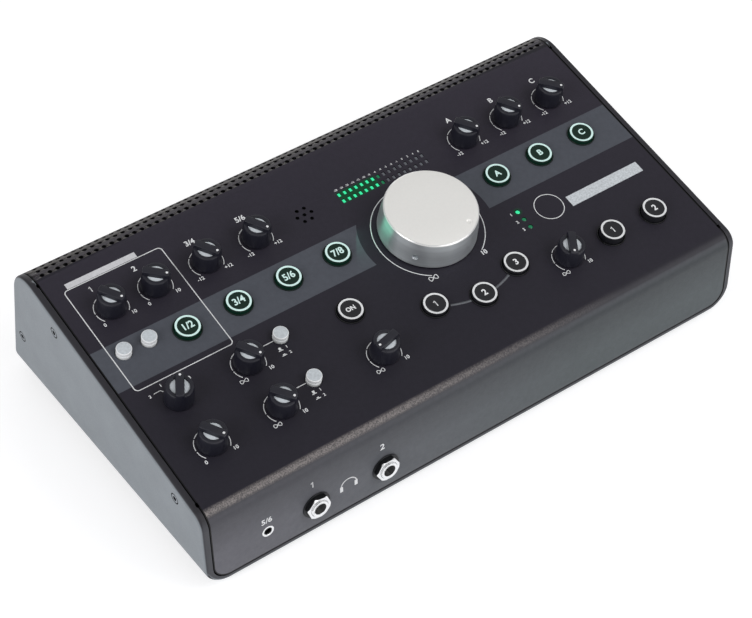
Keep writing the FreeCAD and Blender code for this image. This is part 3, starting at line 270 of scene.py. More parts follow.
def cover_paint():
    """Fine-textured polyester powder coat, black and dry, with two screened grey bands.

    Its wide faces are even but for painted light and shade. The panel is painted a little paler towards the
    rear and the right; the folded front edge carries a painted highlight, a browner, grainy grey; the front face
    is painted a paler grey than the panel, darker towards the fold and the right; the rear bend is painted a
    browner grey highlight; a thin black line of painted shade stands for the seam along the edge; and the paint
    beside the lit windows carries a painted green glow.
    """
    material, tree, coordinates = start_material("cover_powder_coat")
    flat, panel = in_place(tree, coordinates, PANEL)
    case, facing = [
        add_node(tree, "SeparateXYZ", {"Vector": coordinates[name]}).outputs
        for name in ("Object", "Normal")
    ]
    middle = PANEL.inverted() @ VOLUME_AXIS
    from_knob, from_light = [
        add_node(tree, "VectorMath", {0: flat, 1: point}, operation="DISTANCE")
        for point in ((middle.x, middle.y, 0), Vector((*STATUS_PLACES[0], 0)) * MM)
    ]
    # the distances from two boxes: the cover's outline from the front, and the lit part of the meter
    distances = []
    corner = Vector((EDGE_CORNER - EDGE_HALF_WIDTH, 0, EDGE_FOOT + EDGE_CORNER)) * MM
    for vector, *steps in (
        (coordinates["Object"], ("ABSOLUTE", {}), ("MULTIPLY", {1: (1, 0, -1)}), ("ADD", {1: corner})),
        (flat, ("SUBTRACT", {1: Vector(METER_GLOW_MIDDLE) * MM}), ("ABSOLUTE", {}),
         ("SUBTRACT", {1: Vector(METER_GLOW_HALF) * MM})),
    ):
        for operation, other in (*steps, ("MAXIMUM", {1: (0, 0, 0)}), ("LENGTH", {})):
            vector = add_node(tree, "VectorMath", {0: vector, **other}, operation=operation)
        distances.append(vector)
    from_edge, from_meter = distances
    grain = {"Vector": coordinates["Object"], "Scale": 1 / (GRIT * MM), "Detail": 2.0}
    speckle = add_node(tree, "TexNoise", grain)

    # what each share follows, between which limits, and the share at either limit
    turn, leftward, grit, rightward, rise, on_front, rear_half, right_half, on_top, glow, halo = [
        add_node(tree, "MapRange", {
            "Value": value, "From Min": low, "From Max": high, "To Min": start, "To Max": end,
        })
        for value, low, high, start, end in (
            (facing["Y"], -1.0, 1.0, 0.0, 1.0),
            (panel["X"], -60 * MM, 90 * MM, 1.0, 0.0),
            (speckle, 0.35, 0.65, 0.3, 1.0),
            (case["X"], -150 * MM, 60 * MM, 0.0, 1.0),
            (case["Z"], 22 * MM, 46 * MM, 0.0, 0.6),
            (facing["Y"], -0.94, -0.72, 1.0, 0.0),
            (panel["Y"], 50 * MM, 150 * MM, 0.0, 0.75),
            (panel["X"], 0.0, 150 * MM, 0.0, 0.35),
            (facing["Z"], 0.94, 0.965, 0.0, 0.8),
            (from_meter, 0.0, 1.1 * MM, 1.0, 0.0),
            (from_light, 0.8 * MM, 2.8 * MM, 1.0, 0.0),
        )
    ]
    painted_light_share, shine, over_foot, under_top, off_knob, outer, seam_shade = [
        add_node(tree, "Math", {0: value, 1: limit}, operation=operation)
        for value, limit, operation in (
            (rear_half, right_half, "ADD"),
            (glow, halo, "MAXIMUM"),
            (panel["Y"], sizes().band_low, "GREATER_THAN"),
            (panel["Y"], sizes().band_high, "LESS_THAN"),
            (from_knob, sizes().band_clear, "GREATER_THAN"),
            (panel["Z"], -PANEL_SKIN * MM, "GREATER_THAN"),
            (from_edge, (EDGE_CORNER - EDGE_LINE) * MM, "GREATER_THAN"),
        )
    ]
    # the tone and the painted highlight, from the front face over the fold, the panel and the bend to the rear;
    # the front's paler grey, the darker band under the fold and the browner rear bend are painted light and shade
    black, front = colours().panel, colours().front
    tones = ((0.0, front), (0.03, front), (0.14, linear("35343a")), (0.27, black), (0.46, black),
             (0.60, linear("403c3a")), (0.80, linear("4d4946")), (1.0, linear("232327")))
    none, most = linear("000000"), linear("f0f0f0")
    highlight_stops = ((0.11, none), (0.18, most), (0.26, most), (0.36, none))
    ramps = []
    for stops in (tones, highlight_stops):
        ramps.append(add_node(tree, "ValToRGB", {"Fac": turn}))
        elements = ramps[-1].color_ramp.elements
        elements.remove(elements[1])
        elements[0].position, elements[0].color = stops[0]
        for at, tone in stops[1:]:
            elements.new(at).color = tone
    top, painted_highlight = ramps

    # each coat over the last: the shares whose product is its own, and its colour
    for shares, tone in (
        # painted highlight: the fold is painted a browner, grainy grey, strongest towards the left
        ((painted_highlight, leftward, grit), linear("8a8482")),
        # painted shade: the front face is painted darker and blue-green towards the right, and darker towards the
        # fold
        ((rightward, on_front), linear("52585b")),
        ((rise, on_front), linear("2b2b30")),
        # painted light: the panel is painted a little paler towards the rear and the right
        ((painted_light_share, on_top), linear("302c37")),
        ((over_foot, under_top, off_knob, outer), colours().band),
        # painted shade: a thin black line round the front and along the slopes, for the seam's shadow
        ((seam_shade,), linear("08080a")),
        # painted glow: round the lit lights the paint turns near black green and takes a green emission
        ((shine, outer), linear("06140d")),
    ):
        share = shares[0]
        for other in shares[1:]:
            share = add_node(tree, "Math", {0: share, 1: other}, operation="MULTIPLY")
        top = add_node(tree, "Mix", {"Factor": share, "A": top, "B": tone}, data_type="RGBA")
    spill = add_node(tree, "Mix", {"Factor": share, "A": none, "B": linear("003a1e")}, data_type="RGBA")
    surface(
        tree, coordinates["Object"], top, 0.5, GRIT, 0.05, cloud=2.5, mottle=0.06,
        Specular_IOR_Level=0.25, Emission_Color=spill, Emission_Strength=1.0,
    )
    return material


def chassis_paint():
    """Powder coat of the folded chassis, near black on its rim, with painted light: a smooth mid grey on the sides
    and bottom, and a paler grey on the faces towards the front.
    """
    material, tree, coordinates = start_material("chassis_powder_coat")
    facing = add_node(tree, "SeparateXYZ", {"Vector": coordinates["Normal"]}).outputs
    sideways = add_node(tree, "Math", {0: facing["X"]}, operation="ABSOLUTE")
    to_side, to_floor, to_front = [
        add_node(tree, "MapRange", {"Value": value, "From Min": low, "From Max": high})
        for value, low, high in (
            (sideways, 0.6, 0.85), (facing["Z"], -0.05, -0.3), (facing["Y"], -0.75, -0.95),
        )
    ]
    wide = add_node(tree, "Math", {0: to_side, 1: to_floor}, operation="MAXIMUM")
    tone = colours().rim
    # painted light: a paler grey on the faces towards the front, and the sides' grey on the sides and bottom
    for share, coat in ((to_front, linear("414247")), (wide, colours().side)):
        tone = add_node(tree, "Mix", {"Factor": share, "A": tone, "B": coat}, data_type="RGBA")
    surface(
        tree, coordinates["Object"], tone, 0.5, 0.6, 0.03, cloud=14.0, mottle=0.05, Specular_IOR_Level=0.3,
    )
    return material


def turned_metal(name, tone, roughness, groove, depth, metallic):
    """Lathe-turned aluminium: fine grooves round the volume knob's axis smear its reflections along it."""
    material, tree, coordinates = start_material(name)
    place = on_face(PANEL, *spot(PANEL, "volume_shaft"))
    flat, axes = in_place(tree, coordinates, place)
    radius = add_node(tree, "VectorMath", {0: flat}, operation="LENGTH")
    groove_place = add_node(tree, "CombineXYZ", {"X": radius, "Y": axes["Z"]})
    sides = {0: PANEL_NORMAL, 1: coordinates["Normal"]}
    around = add_node(tree, "VectorMath", sides, operation="CROSS_PRODUCT")
    surface(
        tree, groove_place, linear(tone)[:3], roughness, groove, depth, cloud=2.0,
        Metallic=metallic, Anisotropic=0.8, Anisotropic_Rotation=0.25, Tangent=around,
    )
    return material


# a wave texture's bands are pi / 10 of its scale apart: the weave is drawn 3.8 mm apart, so that it shows
WEAVE_SCALE = 12.0
CONDUCTOR_PITCH = 1.27


def circuit_board():
    """Glass-fibre laminate under green solder mask: a faint weave in a soft gloss."""
    material, tree, coordinates = start_material("solder_mask_laminate")
    threads = {"Vector": coordinates["Object"], "Scale": 1 / (WEAVE_SCALE * MM), "Distortion": 0.6}
    weave = add_node(tree, "TexWave", threads).outputs["Fac"]
    greens = {"Factor": weave, "A": linear("17482c"), "B": linear("1f5c38")}
    tone = add_node(tree, "Mix", greens, data_type="RGBA")
    end_material(tree, tone, 0.35, weave, 0.01)
    return material


def flat_cable():
    """PVC ribbon cable: parallel round conductors 1.27 mm apart show as soft ridges."""
    material, tree, coordinates = start_material("ribbon_pvc")
    axes = add_node(tree, "SeparateXYZ", {"Vector": coordinates["Object"]}).outputs
    per_turn = CONDUCTOR_PITCH * MM / (2 * math.pi)
    phase = add_node(tree, "Math", {0: axes["X"], 1: 1 / per_turn}, operation="MULTIPLY")
    wave = add_node(tree, "Math", {0: phase}, operation="SINE")
    ridge = add_node(tree, "Math", {0: wave, 1: 0.5, 2: 0.5}, operation="MULTIPLY_ADD")
    greys = {"Factor": ridge, "A": linear("77777a"), "B": linear("a8a8aa")}
    tone = add_node(tree, "Mix", greys, data_type="RGBA")
    end_material(tree, tone, 0.5, ridge, 0.2)
    return material


MATERIALS = {}


def make_materials():
    """Every finish of the object, by what it is."""
    tone = colours()
    MATERIALS.update(
        cover=cover_paint(),
        chassis=chassis_paint(),
        # spark-textured ABS: a dull sheen that lifts the edges
        knob=plain_finish("knob_abs", tone.knob, 0.42, 0.5, 0.02, cloud=3.0),
        # pad-printed or moulded-in white, cleaner than the print on the paint
        crescent=plain_finish("white_insert_abs", "d3d9df", 0.4, 0.4, 0.01, mottle=0.05),
        # epoxy screen inks: dry and slightly uneven where the paint's grit shows through
        ink=plain_finish("white_screen_ink", tone.ink, 0.6, 0.6, 0.02, cloud=1.5, mottle=0.06),
        title=plain_finish("pale_grey_screen_ink", "c9c9cd", 0.6, 0.6, 0.02, cloud=1.5),
        grey_ink=plain_finish("grey_screen_ink", "606268", 0.6, 0.6, 0.02, cloud=1.5),
        # ink with metal flake: a fine sparkle of light and dark grains
        silver_ink=plain_finish("silver_flake_ink", "c4c9ce", 0.45, 0.4, 0.03, cloud=0.9, mottle=0.2),
        # satin ABS caps: almost black, with a soft highlight, and tinted where the lamp under them is on
        cap=plain_finish("cap_abs", "17171c", 0.35, 0.4, 0.01),
        cap_lit=plain_finish(
            "smoked_polycarbonate", "04100b", 0.35, 0.4, 0.01,
            Emission_Color=linear("0c3427"), Emission_Strength=0.35, Specular_IOR_Level=0.3,
        ),
        # frosted acrylic that spreads the lamp under it
        ring=plain_finish("frosted_acrylic", "dfe0e2", 0.35, 0.4, 0.01, mottle=0.05),
        ring_lit=plain_finish(
            "lit_frosted_acrylic", "b4cdc9", 0.35, 0.6, 0.01, cloud=1.5, mottle=0.1,
            Emission_Color=tone.lit, Emission_Strength=0.32,
        ),
        # polished ABS collars: black gloss
        bezel=plain_finish("collar_abs", "101013", 0.2, 0.4, 0.005),
        # painted glow: the collars round lit buttons are painted dark green with a faint green emission, for the
        # buttons' light on their black gloss
        bezel_lit=plain_finish(
            "collar_abs_painted_glow", "0a1411", 0.2, 0.4, 0.005,
            Emission_Color=linear("042015"), Emission_Strength=0.2,
        ),
        # glossy white ABS, with painted shade: bright sides, and tops painted a darker grey with a grey mottle
        push=plain_finish("white_abs", "e6e8ea", 0.28, 0.4, 0.005, mottle=0.04),
        push_top=plain_finish("white_abs_painted_shade", "bfc5ca", 0.4, 0.5, 0.01, cloud=1.2, mottle=0.12),
        # clear polycarbonate lenses over the lamps: a hot core, a dim core and dark ones
        led_lit=plain_finish(
            "lit_lens", "0e7048", 0.2, 0.5, 0.005, cloud=1.0, mottle=0.15,
            Emission_Color=tone.light, Emission_Strength=1.0,
        ),
        led_dim=plain_finish(
            "dim_lens", "0a3a26", 0.2, 0.5, 0.005, cloud=0.8, mottle=0.3,
            Emission_Color=linear("0f8a58"), Emission_Strength=0.5,
        ),
        led_dark=plain_finish("dark_lens", "62656c", 0.15, 0.5, 0.005, cloud=1.0, mottle=0.2),
        # bead-blasted and anodised: an even, milky sheen with a fine frost
        blasted=plain_finish(
            "blasted_aluminium", tone.metal, 0.5, 0.5, 0.003, cloud=1.5, mottle=0.01, Metallic=0.35,
        ),
        turned=turned_metal("turned_aluminium", "c9ced2", 0.36, 0.3, 0.004, 0.85),
        chamfer=turned_metal("cut_aluminium", "ececec", 0.3, 0.3, 0.002, 0.6),
        # bright nickel over machined steel: sharp reflections with faint polishing marks
        chrome=plain_finish("bright_nickel", "ebecee", 0.18, 0.4, 0.0005, mottle=0.02, Metallic=0.9),
        # painted shade: the shells' inside, hole walls and screw seats, near black
        inside=plain_finish("painted_shade_black", "0c0c0e", 0.75, 0.6, 0.02, Specular_IOR_Level=0.1),
        # oxide-blacked steel: oily black
        black_steel=plain_finish("black_oxide_steel", "232427", 0.32, 0.5, 0.005, Metallic=0.6),
        steel=plain_finish("machined_steel", "a6a8aa", 0.3, 0.4, 0.004, Metallic=1.0),
        brass=plain_finish("brass", "b08d4c", 0.3, 0.4, 0.004, Metallic=1.0),
        # painted screw heads: the side's grey, painted light like the sides
        screw_paint=plain_finish("screw_powder_coat", tone.side, 0.5, 0.6, 0.02, mottle=0.04),
        nylon=plain_finish("black_nylon", "131316", 0.45, 0.5, 0.01),
        # worn rubber: matt, with a grey bloom
        rubber=plain_finish("foot_rubber", "17171a", 0.8, 0.8, 0.05, cloud=4.0, mottle=0.2),
        board=circuit_board(),
        ribbon=flat_cable(),
    )


# ---------------------------------------------------------------- modelling steps

SMOOTH_ANGLE = math.radians(35)
# how far up a normal points before its face counts as a top
UPWARD = 0.9


def take(piece, editing=False):
    """Make a piece the only selected and active object, and open it for editing with all of it selected."""
    bpy.ops.object.select_all(action="DESELECT")
    piece.select_set(True)
    bpy.context.view_layer.objects.active = piece
    if editing:
        bpy.ops.object.mode_set(mode="EDIT")
        bpy.ops.mesh.select_all(action="SELECT")


def close_up(piece, smooth_angle=SMOOTH_ANGLE):
    """Merge doubles, fill open rings, point faces outwards and smooth the round stretches."""
    take(piece, editing=True)
    bpy.ops.mesh.remove_doubles(threshold=1e-6)
    bpy.ops.mesh.select_all(action="SELECT")
    bpy.ops.mesh.fill_holes(sides=0)
    bpy.ops.mesh.select_all(action="SELECT")
    bpy.ops.mesh.normals_make_consistent(inside=False)
    bpy.ops.object.mode_set(mode="OBJECT")
    bpy.ops.object.shade_smooth_by_angle(angle=smooth_angle)
    bpy.ops.object.transform_apply()
    return piece


def modify(piece, kind, **settings):
    """Give a piece a modifier with its settings, and apply it."""
    take(piece)
    modifier = piece.modifiers.new(kind, kind)
    for name, value in settings.items():
        setattr(modifier, name, value)
    bpy.ops.object.modifier_apply(modifier=modifier.name)


def boolean(piece, tool, operation):
    """Cut or intersect with a tool, which is used up."""
    modify(piece, "BOOLEAN", operation=operation, solver="EXACT", object=tool)
    bpy.data.objects.remove(tool)
    bpy.ops.object.shade_smooth_by_angle(angle=SMOOTH_ANGLE)


def turned(rings, sides=64):
    """A turned shape: a circle drawn out ring by ring, each ring a radius and a height in millimetres."""
    radius, height = rings[0]
    bpy.ops.mesh.primitive_circle_add(vertices=sides, radius=radius * MM, location=(0, 0, height * MM))
    piece = bpy.context.object
    take(piece, editing=True)
    for next_radius, next_height in rings[1:]:
        rise = (next_height - height) * MM
        bpy.ops.mesh.extrude_region_move(TRANSFORM_OT_translate={"value": (0, 0, rise)})
        growth = next_radius / radius
        bpy.ops.transform.resize(value=(growth, growth, 1), center_override=(0, 0, 0))
        radius, height = next_radius, next_height
    bpy.ops.object.mode_set(mode="OBJECT")
    return close_up(piece)


def tube(rings, sides=64):
    """A turned ring: the outline of its wall, closed on itself."""
    return turned(rings + rings[:1], sides)


def slab(long, wide, low, high, bevel=0.0, x=0.0, y=0.0, top_width=None):
    """A block on a face, in millimetres, with bevelled edges and a top of its own width."""
    bpy.ops.mesh.primitive_cube_add(size=1, location=(x * MM, y * MM, (low + high) / 2 * MM))
    piece = bpy.context.object
    take(piece)
    piece.scale = (long * MM, wide * MM, (high - low) * MM)
    bpy.ops.object.transform_apply()
    if top_width:
        take(piece, editing=True)
        bpy.ops.mesh.select_all(action="DESELECT")
        bpy.ops.object.mode_set(mode="OBJECT")
        for polygon in piece.data.polygons:
            polygon.select = polygon.normal.z > UPWARD
        bpy.ops.object.mode_set(mode="EDIT")
        middle = (x * MM, y * MM, high * MM)
        bpy.ops.transform.resize(value=(1, top_width / wide, 1), center_override=middle)
        bpy.ops.object.mode_set(mode="OBJECT")
    if bevel:
        modify(piece, "BEVEL", width=bevel * MM, segments=3)
    return close_up(piece)


def merge(pieces):
    """Join separate shells into one piece."""
    take(pieces[0])
    for piece in pieces:
        piece.select_set(True)
    if len(pieces) > 1:
        bpy.ops.object.join()
    return pieces[0]


def copy_piece(template, place=Matrix()):
    """A copy with its own mesh, moved to a place."""
    piece = template.copy()
    piece.data = template.data.copy()
    piece.data.transform(place)
    bpy.context.scene.collection.objects.link(piece)
    return piece


def paint(piece, names, choose=None):
    """Give a piece its materials, and each face the one that a test on its middle and normal picks."""
    piece.data.materials.clear()
    for name in names:
        piece.data.materials.append(MATERIALS[name])
    if choose:
        for polygon in piece.data.polygons:
            polygon.material_index = int(choose(polygon.center, polygon.normal))


def paint_nodes(finish, *nodes):
    """Give whole nodes of the frame one finish."""
    for node in nodes:
        paint(NODES[node], [finish])


def settle(piece, name, place, body, node=None):
    """Name a finished mesh and put it in its place, to ride on its body and stand for its node."""
    piece.name = name
    piece.data.transform(place)
    piece.data.update()
    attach(piece, body)
    if node:
        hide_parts(node)


def refinish(node, name, finishes, choose=None, smooth_angle=SMOOTH_ANGLE):
    """A merged copy of a node in its own place, with even flat faces and a finish for each zone."""
    piece = copy_piece(NODES[node])
    piece.parent = None
    close_up(piece, smooth_angle)
    take(piece, editing=True)
    bpy.ops.mesh.dissolve_limited(angle_limit=math.radians(0.5))
    bpy.ops.object.mode_set(mode="OBJECT")
    modify(piece, "WEIGHTED_NORMAL", mode="FACE_AREA", weight=100, keep_sharp=True)
    paint(piece, finishes, choose)
    settle(piece, name, Matrix(), "case", node)


def arc_points(middle, radius, start, end, step=6.0):
    """Points on a circle between two angles in degrees."""
    x, y = middle
    count = max(2, math.ceil(abs(end - start) / step) + 1)
    angles = [math.radians(start + (end - start) * i / (count - 1)) for i in range(count)]
    return [(x + radius * math.cos(angle), y + radius * math.sin(angle)) for angle in angles]


def as_print(piece, shape):
    """A line or text as a mesh, shaped by a matrix."""
    take(piece)
    bpy.ops.object.convert(target="MESH")
    bpy.context.object.data.transform(shape)
    return bpy.context.object


def ink_line(points, width, closed=False):
    """A printed line: a thin flat strip that follows points on a face."""
    curve = bpy.data.curves.new("ink_line", "CURVE")
    curve.dimensions = "3D"
    curve.bevel_depth = width / 2 * MM
    curve.bevel_resolution = 0
    curve.use_fill_caps = True
    line = curve.splines.new("POLY")
    line.points.add(len(points) - 1)
    for point, (x, y) in zip(line.points, points):
        point.co = (x * MM, y * MM, 0, 1)
    line.use_cyclic_u = closed
    piece = bpy.data.objects.new("ink_line", curve)
    bpy.context.scene.collection.objects.link(piece)
    return as_print(piece, Matrix.Diagonal((1, 1, 2 * sizes().ink_height / MM / width, 1)))


# the height of a capital letter, as a share of the size of the text
CAPITAL_SHARE = 0.72


def printed_text(words, height, x, y, weight=0.0, squeeze=1.0):
    """Generic numbers in ink, centred on a point of a face."""
    bpy.ops.object.text_add()
    piece = bpy.context.object
    text = piece.data
    text.body = words
    text.size = height / CAPITAL_SHARE * MM
    text.align_x = text.align_y = "CENTER"
    text.offset = weight * MM
    text.extrude = sizes().ink_height / 2
    text.resolution_u = 4
    place = Matrix.Translation((x * MM, y * MM, sizes().ink_height / 2))
    return as_print(piece, place @ Matrix.Diagonal((squeeze, 1, 1, 1)))


def printed_one(height, x, y, width):
    """A number one with its flag."""
    points = [(x - 0.26 * height, y + 0.24 * height), (x, y + 0.45 * height), (x, y - 0.5 * height)]
    return ink_line(points, width)


def endless_sign(x, y, long, high, width):
    """A lying figure eight, the usual sign at the low end of a level scale."""
    turns = [math.radians(angle) for angle in range(0, 360, 15)]
    points = [(x + long / 2 * math.cos(turn), y + high / 2 * math.sin(2 * turn)) for turn in turns]
    return ink_line(points, width, True)


def gather(pieces, name, finishes, node=None, place=Matrix(), choose=None):
    """Like pieces of the case as one, which stands for their node."""
    group = merge(pieces)
    paint(group, finishes, choose)
    settle(group, name, place, "case", node)


def print_on(face, name, finish, marks):
    """Marks on one face as one printed piece of the cover."""
    gather(marks, name, [finish], place=face)


# ---------------------------------------------------------------- operators: one for each piece or group

# each side's screws, in millimetres behind the front face's foot and over the bottom, and their seats
SIDE_SCREWS = ((22.7, 43.7), (128.7, 66.0), (169.1, 31.7))
SCREW_SEAT = 3.1 * MM
# outer radii of the cover's bends
FRONT_BEND = 8.5 * MM
REAR_BEND = 17.9 * MM
# how far below an outer face a part still counts as on it: on a bend, on a flat and on a side
BEND_SLACK, FACE_SLACK, SIDE_SLACK = 0.3 * MM, 0.1 * MM, 0.02 * MM
# how deep in the side's sheet its inner face starts
SIDE_SKIN = 1.2 * MM
SHELL_SMOOTH_ANGLE = math.radians(40)


def bend_axis(first, second, radius):
    """A point on the axis of the bend between two of the cover's faces."""
    normals = [face.col[2].to_3d() for face in (first, second)]
    p, q = [normal.dot(face.translation) - radius for normal, face in zip(normals, (first, second))]
    (a, b), (c, d) = [(normal.y, normal.z) for normal in normals]
    scale = a * d - b * c
    return Vector((0, (p * d - b * q) / scale, (a * q - c * p) / scale))


class CONTROLLER_OT_case(bpy.types.Operator):
    """Give the folded chassis and cover their powder coats"""

    bl_idname = "controller.case"
    bl_label = "Case"

    def execute(self, context):
        up_panel = PANEL.col[1].to_3d()
        bends = [
            (bend_axis(PANEL, face, radius), radius, towards, face.col[1].to_3d())
            for face, radius, towards in ((FRONT, FRONT_BEND, -up_panel), (REAR, REAR_BEND, up_panel))
        ]
        faces = [face.inverted() for face in (PANEL, FRONT, REAR)]

        def cover_zone(middle, normal):
            """Paint on the outside, and painted shade on the inside and the hole walls."""
            for axis, radius, towards, rising in bends:
                reach = middle - axis
                reach.x = 0
                if reach.dot(towards) > 0 and reach.dot(rising) > 0:
                    return reach.length <= radius - BEND_SLACK
            return max((face @ middle).z for face in faces) <= -FACE_SLACK

        for node, name, slot, zone in (
            ("bottom_chassis", "chassis_shell", "chassis", self.chassis_zone),
            ("top_cover", "cover_shell", "cover", cover_zone),
        ):
            refinish(node, name, [slot, "inside"], zone, SHELL_SMOOTH_ANGLE)
        return {"FINISHED"}

    @staticmethod
    def chassis_zone(middle, normal):
        """Paint on the outside, and painted shade on the inside and in the screw seats."""
        depth = CASE_HALF_WIDTH - abs(middle.x)
        from_screw = min(
            math.hypot(middle.y - COVER_LOW.y - back * MM, middle.z - CHASSIS_LOW.z - up * MM)
            for back, up in SIDE_SCREWS
        )
        within = abs(normal.x) > 0.5 and depth > SIDE_SKIN
        return within or depth > SIDE_SLACK and from_screw < SCREW_SEAT


# each small knob: where its bar points in degrees, the signs at its arc's ends (an endless sign for None),
# and the name over it with its shift in millimetres
SMALL_KNOBS = {
    "gain_1_knob": (-56, ("0", "10"), ("1", -2.8)),
    "gain_2_knob": (-41, ("0", "10"), ("2", -3.4)),
    "trim_1_knob": (-55, ("-12", "+12"), ("3/4", -0.7)),
    "trim_2_knob": (-57, ("-12", "+12"), ("5/6", -0.3)),
    "trim_a_knob": (-52, ("-12", "+12"), ("A", 0.2)),
    "trim_b_knob": (-54, ("-12", "+12"), ("B", 0.2)),
    "trim_c_knob": (-46, ("-12", "+12"), ("C", 0.2)),
    "cue_source_knob": (59, None, None),
    "direct_monitor_knob": (-56, ("0", "10"), None),
    "phones_1_knob": (-56, (None, "10"), None),
    "phones_2_knob": (-51, (None, "10"), None),
    "studio_level_knob": (-167, (None, "10"), None),
    "talkback_level_knob": (-121, (None, "10"), None),
}
KNOB_FINISHES = ["knob", "crescent", "ink"]
# under this height the top of a small knob is the pale floor of its crescents
KNOB_FLOOR = 10.3 * MM
DOT_REACH = 5.15 * MM


class CONTROLLER_OT_small_knobs(bpy.types.Operator):
    """Mould the small knobs: a tapered skirt, a grip bar, two pale crescents and a dot"""

    bl_idname = "controller.small_knobs"
    bl_label = "Small knobs"

    def execute(self, context):
        skirt = turned([
            (6.6, 0.55), (7.3, 0.5), (7.4, 0.7), (7.36, 2.0), (7.2, 5.0), (6.95, 8.0), (6.75, 9.8),
            (6.62, 10.4), (6.42, 10.7), (6.1, 10.8), (4.9, 10.8), (4.76, 10.72), (4.7, 10.1),
        ])
        paint(skirt, KNOB_FINISHES, lambda middle, normal: normal.z > UPWARD and middle.z < KNOB_FLOOR)
        limit = turned([
            (7.42, 1.0), (7.4, 3.0), (7.28, 6.0), (7.05, 9.0), (6.88, 11.2), (6.76, 12.1), (6.55, 12.5),
            (6.2, 12.64),
        ])
        bar = slab(15.2, 6.2, 1.2, 12.64, top_width=3.9)
        modify(bar, "BEVEL", width=0.25 * MM, segments=3)
        boolean(bar, limit, "INTERSECT")
        paint(bar, KNOB_FINISHES)
        dot = turned([(0.62, 12.4), (0.62, 12.66), (0.5, 12.69)], 24)
        dot.data.transform(Matrix.Translation((DOT_REACH, 0, 0)))
        paint(dot, KNOB_FINISHES, lambda middle, normal: 2)
        knob = merge([skirt, bar, dot])
        for node, (turn, *_) in SMALL_KNOBS.items():
            place = on_face(PANEL, *spot(PANEL, node), 0, turn)
            settle(copy_piece(knob), node + "_cap", place, node, node)
        bpy.data.objects.remove(knob)
        return {"FINISHED"}


# the pointer's dimple: the ball that cuts it, and where it points on the knob
DIMPLE_RADIUS, DIMPLE_REACH, DIMPLE_HEIGHT, DIMPLE_TURN = 1.95 * MM, 19.9 * MM, 17.95 * MM, -55.6
# where its top starts, where its chamfer starts, and the ring on its side that holds the countersink
TOP_HEIGHT, CHAMFER_HEIGHT, CHAMFER_REACH = 15.5 * MM, 16.05 * MM, 23.6 * MM
COUNTERSINK_RING, COUNTERSINK_RADIUS = (23.5 * MM, 25.3 * MM), 3 * MM


class CONTROLLER_OT_volume_knob(bpy.types.Operator):
    """Turn the large aluminium knob with its bevel, dimple and grub screw"""

    bl_idname = "controller.volume_knob"
    bl_label = "Volume knob"

    def execute(self, context):
        knob = turned([
            (22.2, 4.6), (22.2, 0.8), (25.45, 0.8), (25.6, 0.95), (25.22, 8.0), (24.2, 15.9), (24.1, 16.15),
            (23.75, 16.55), (23.55, 16.6), (12.0, 16.6),
        ], 144)
        low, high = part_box("volume_set_screw")
        place = on_face(PANEL, *spot(PANEL, "volume_shaft"))
        screw = place.inverted() @ ((low + high) / 2)
        sideways = Matrix.Rotation(math.radians(90), 4, "Y")
        aim = Matrix.Rotation(math.atan2(screw.y, screw.x), 4, "Z") @ sideways
        hole = turned([(1.15, 12.0), (1.15, 24.6), (2.4, 26.4)], 32)
        hole.data.transform(Matrix.Translation((0, 0, screw.z)) @ aim)
        boolean(knob, hole, "DIFFERENCE")
        bpy.ops.mesh.primitive_uv_sphere_add(segments=48, ring_count=32, radius=DIMPLE_RADIUS)
        ball = bpy.context.object
        pointer = Matrix.Rotation(math.radians(DIMPLE_TURN), 4, "Z")
        centre = pointer @ Vector((DIMPLE_REACH, 0, DIMPLE_HEIGHT))
        ball.data.transform(Matrix.Translation(centre))
        boolean(knob, ball, "DIFFERENCE")

        def zone(middle, normal):
            """The blasted top and dimple, the turned side, and the cut chamfer and countersink."""
            reach = math.hypot(middle.x, middle.y)
            if middle.z > CHAMFER_HEIGHT and reach > CHAMFER_REACH:
                return 2
            if middle.z > TOP_HEIGHT and normal.z > 0.2:
                return 0
            near_screw = (middle - screw).length < COUNTERSINK_RADIUS and normal.z > 0.25
            return 2 if near_screw and COUNTERSINK_RING[0] < reach < COUNTERSINK_RING[1] else 1

        paint(knob, ["blasted", "turned", "chamfer"], zone)
        settle(knob, "volume_knob_metal", place, "volume_knob", "volume_knob")
        paint_nodes("steel", "volume_shaft")
        paint_nodes("black_steel", "volume_set_screw")
        return {"FINISHED"}


# what each round button's cap says
LIT_BUTTONS = {
    "source_1_button": "1/2", "source_2_button": "3/4", "source_3_button": "5/6", "source_4_button": "7/8",
    "monitor_a_button": "A", "monitor_b_button": "B", "monitor_c_button": "C",
}
DARK_BUTTONS = {"studio_on_button": "ON", "mono_button": "1", "mute_button": "2", "dim_button": "3"}
TALK_BUTTONS = {"talk_to_tracks_button": "1", "talk_to_cue_button": "2"}
PUSH_SWITCHES = ("phantom_switch", "pan_switch", "phones_1_switch", "phones_2_switch")
CAP_HEIGHT = 2.4
TALK_CAP_HEIGHT = 4.5
CAP_DISH = 0.05
RING_INSIDE, RING_OUTSIDE = 5.15 * MM, 6.2 * MM
PUSH_TOP = 3.8 * MM
# by the number of its signs, a mark's height, squeeze and weight
MARK_SHAPES = {1: (3.5, 1.0, 0.14), 2: (2.5, 0.95, 0.12), 3: (3.9, 0.95, 0.12)}


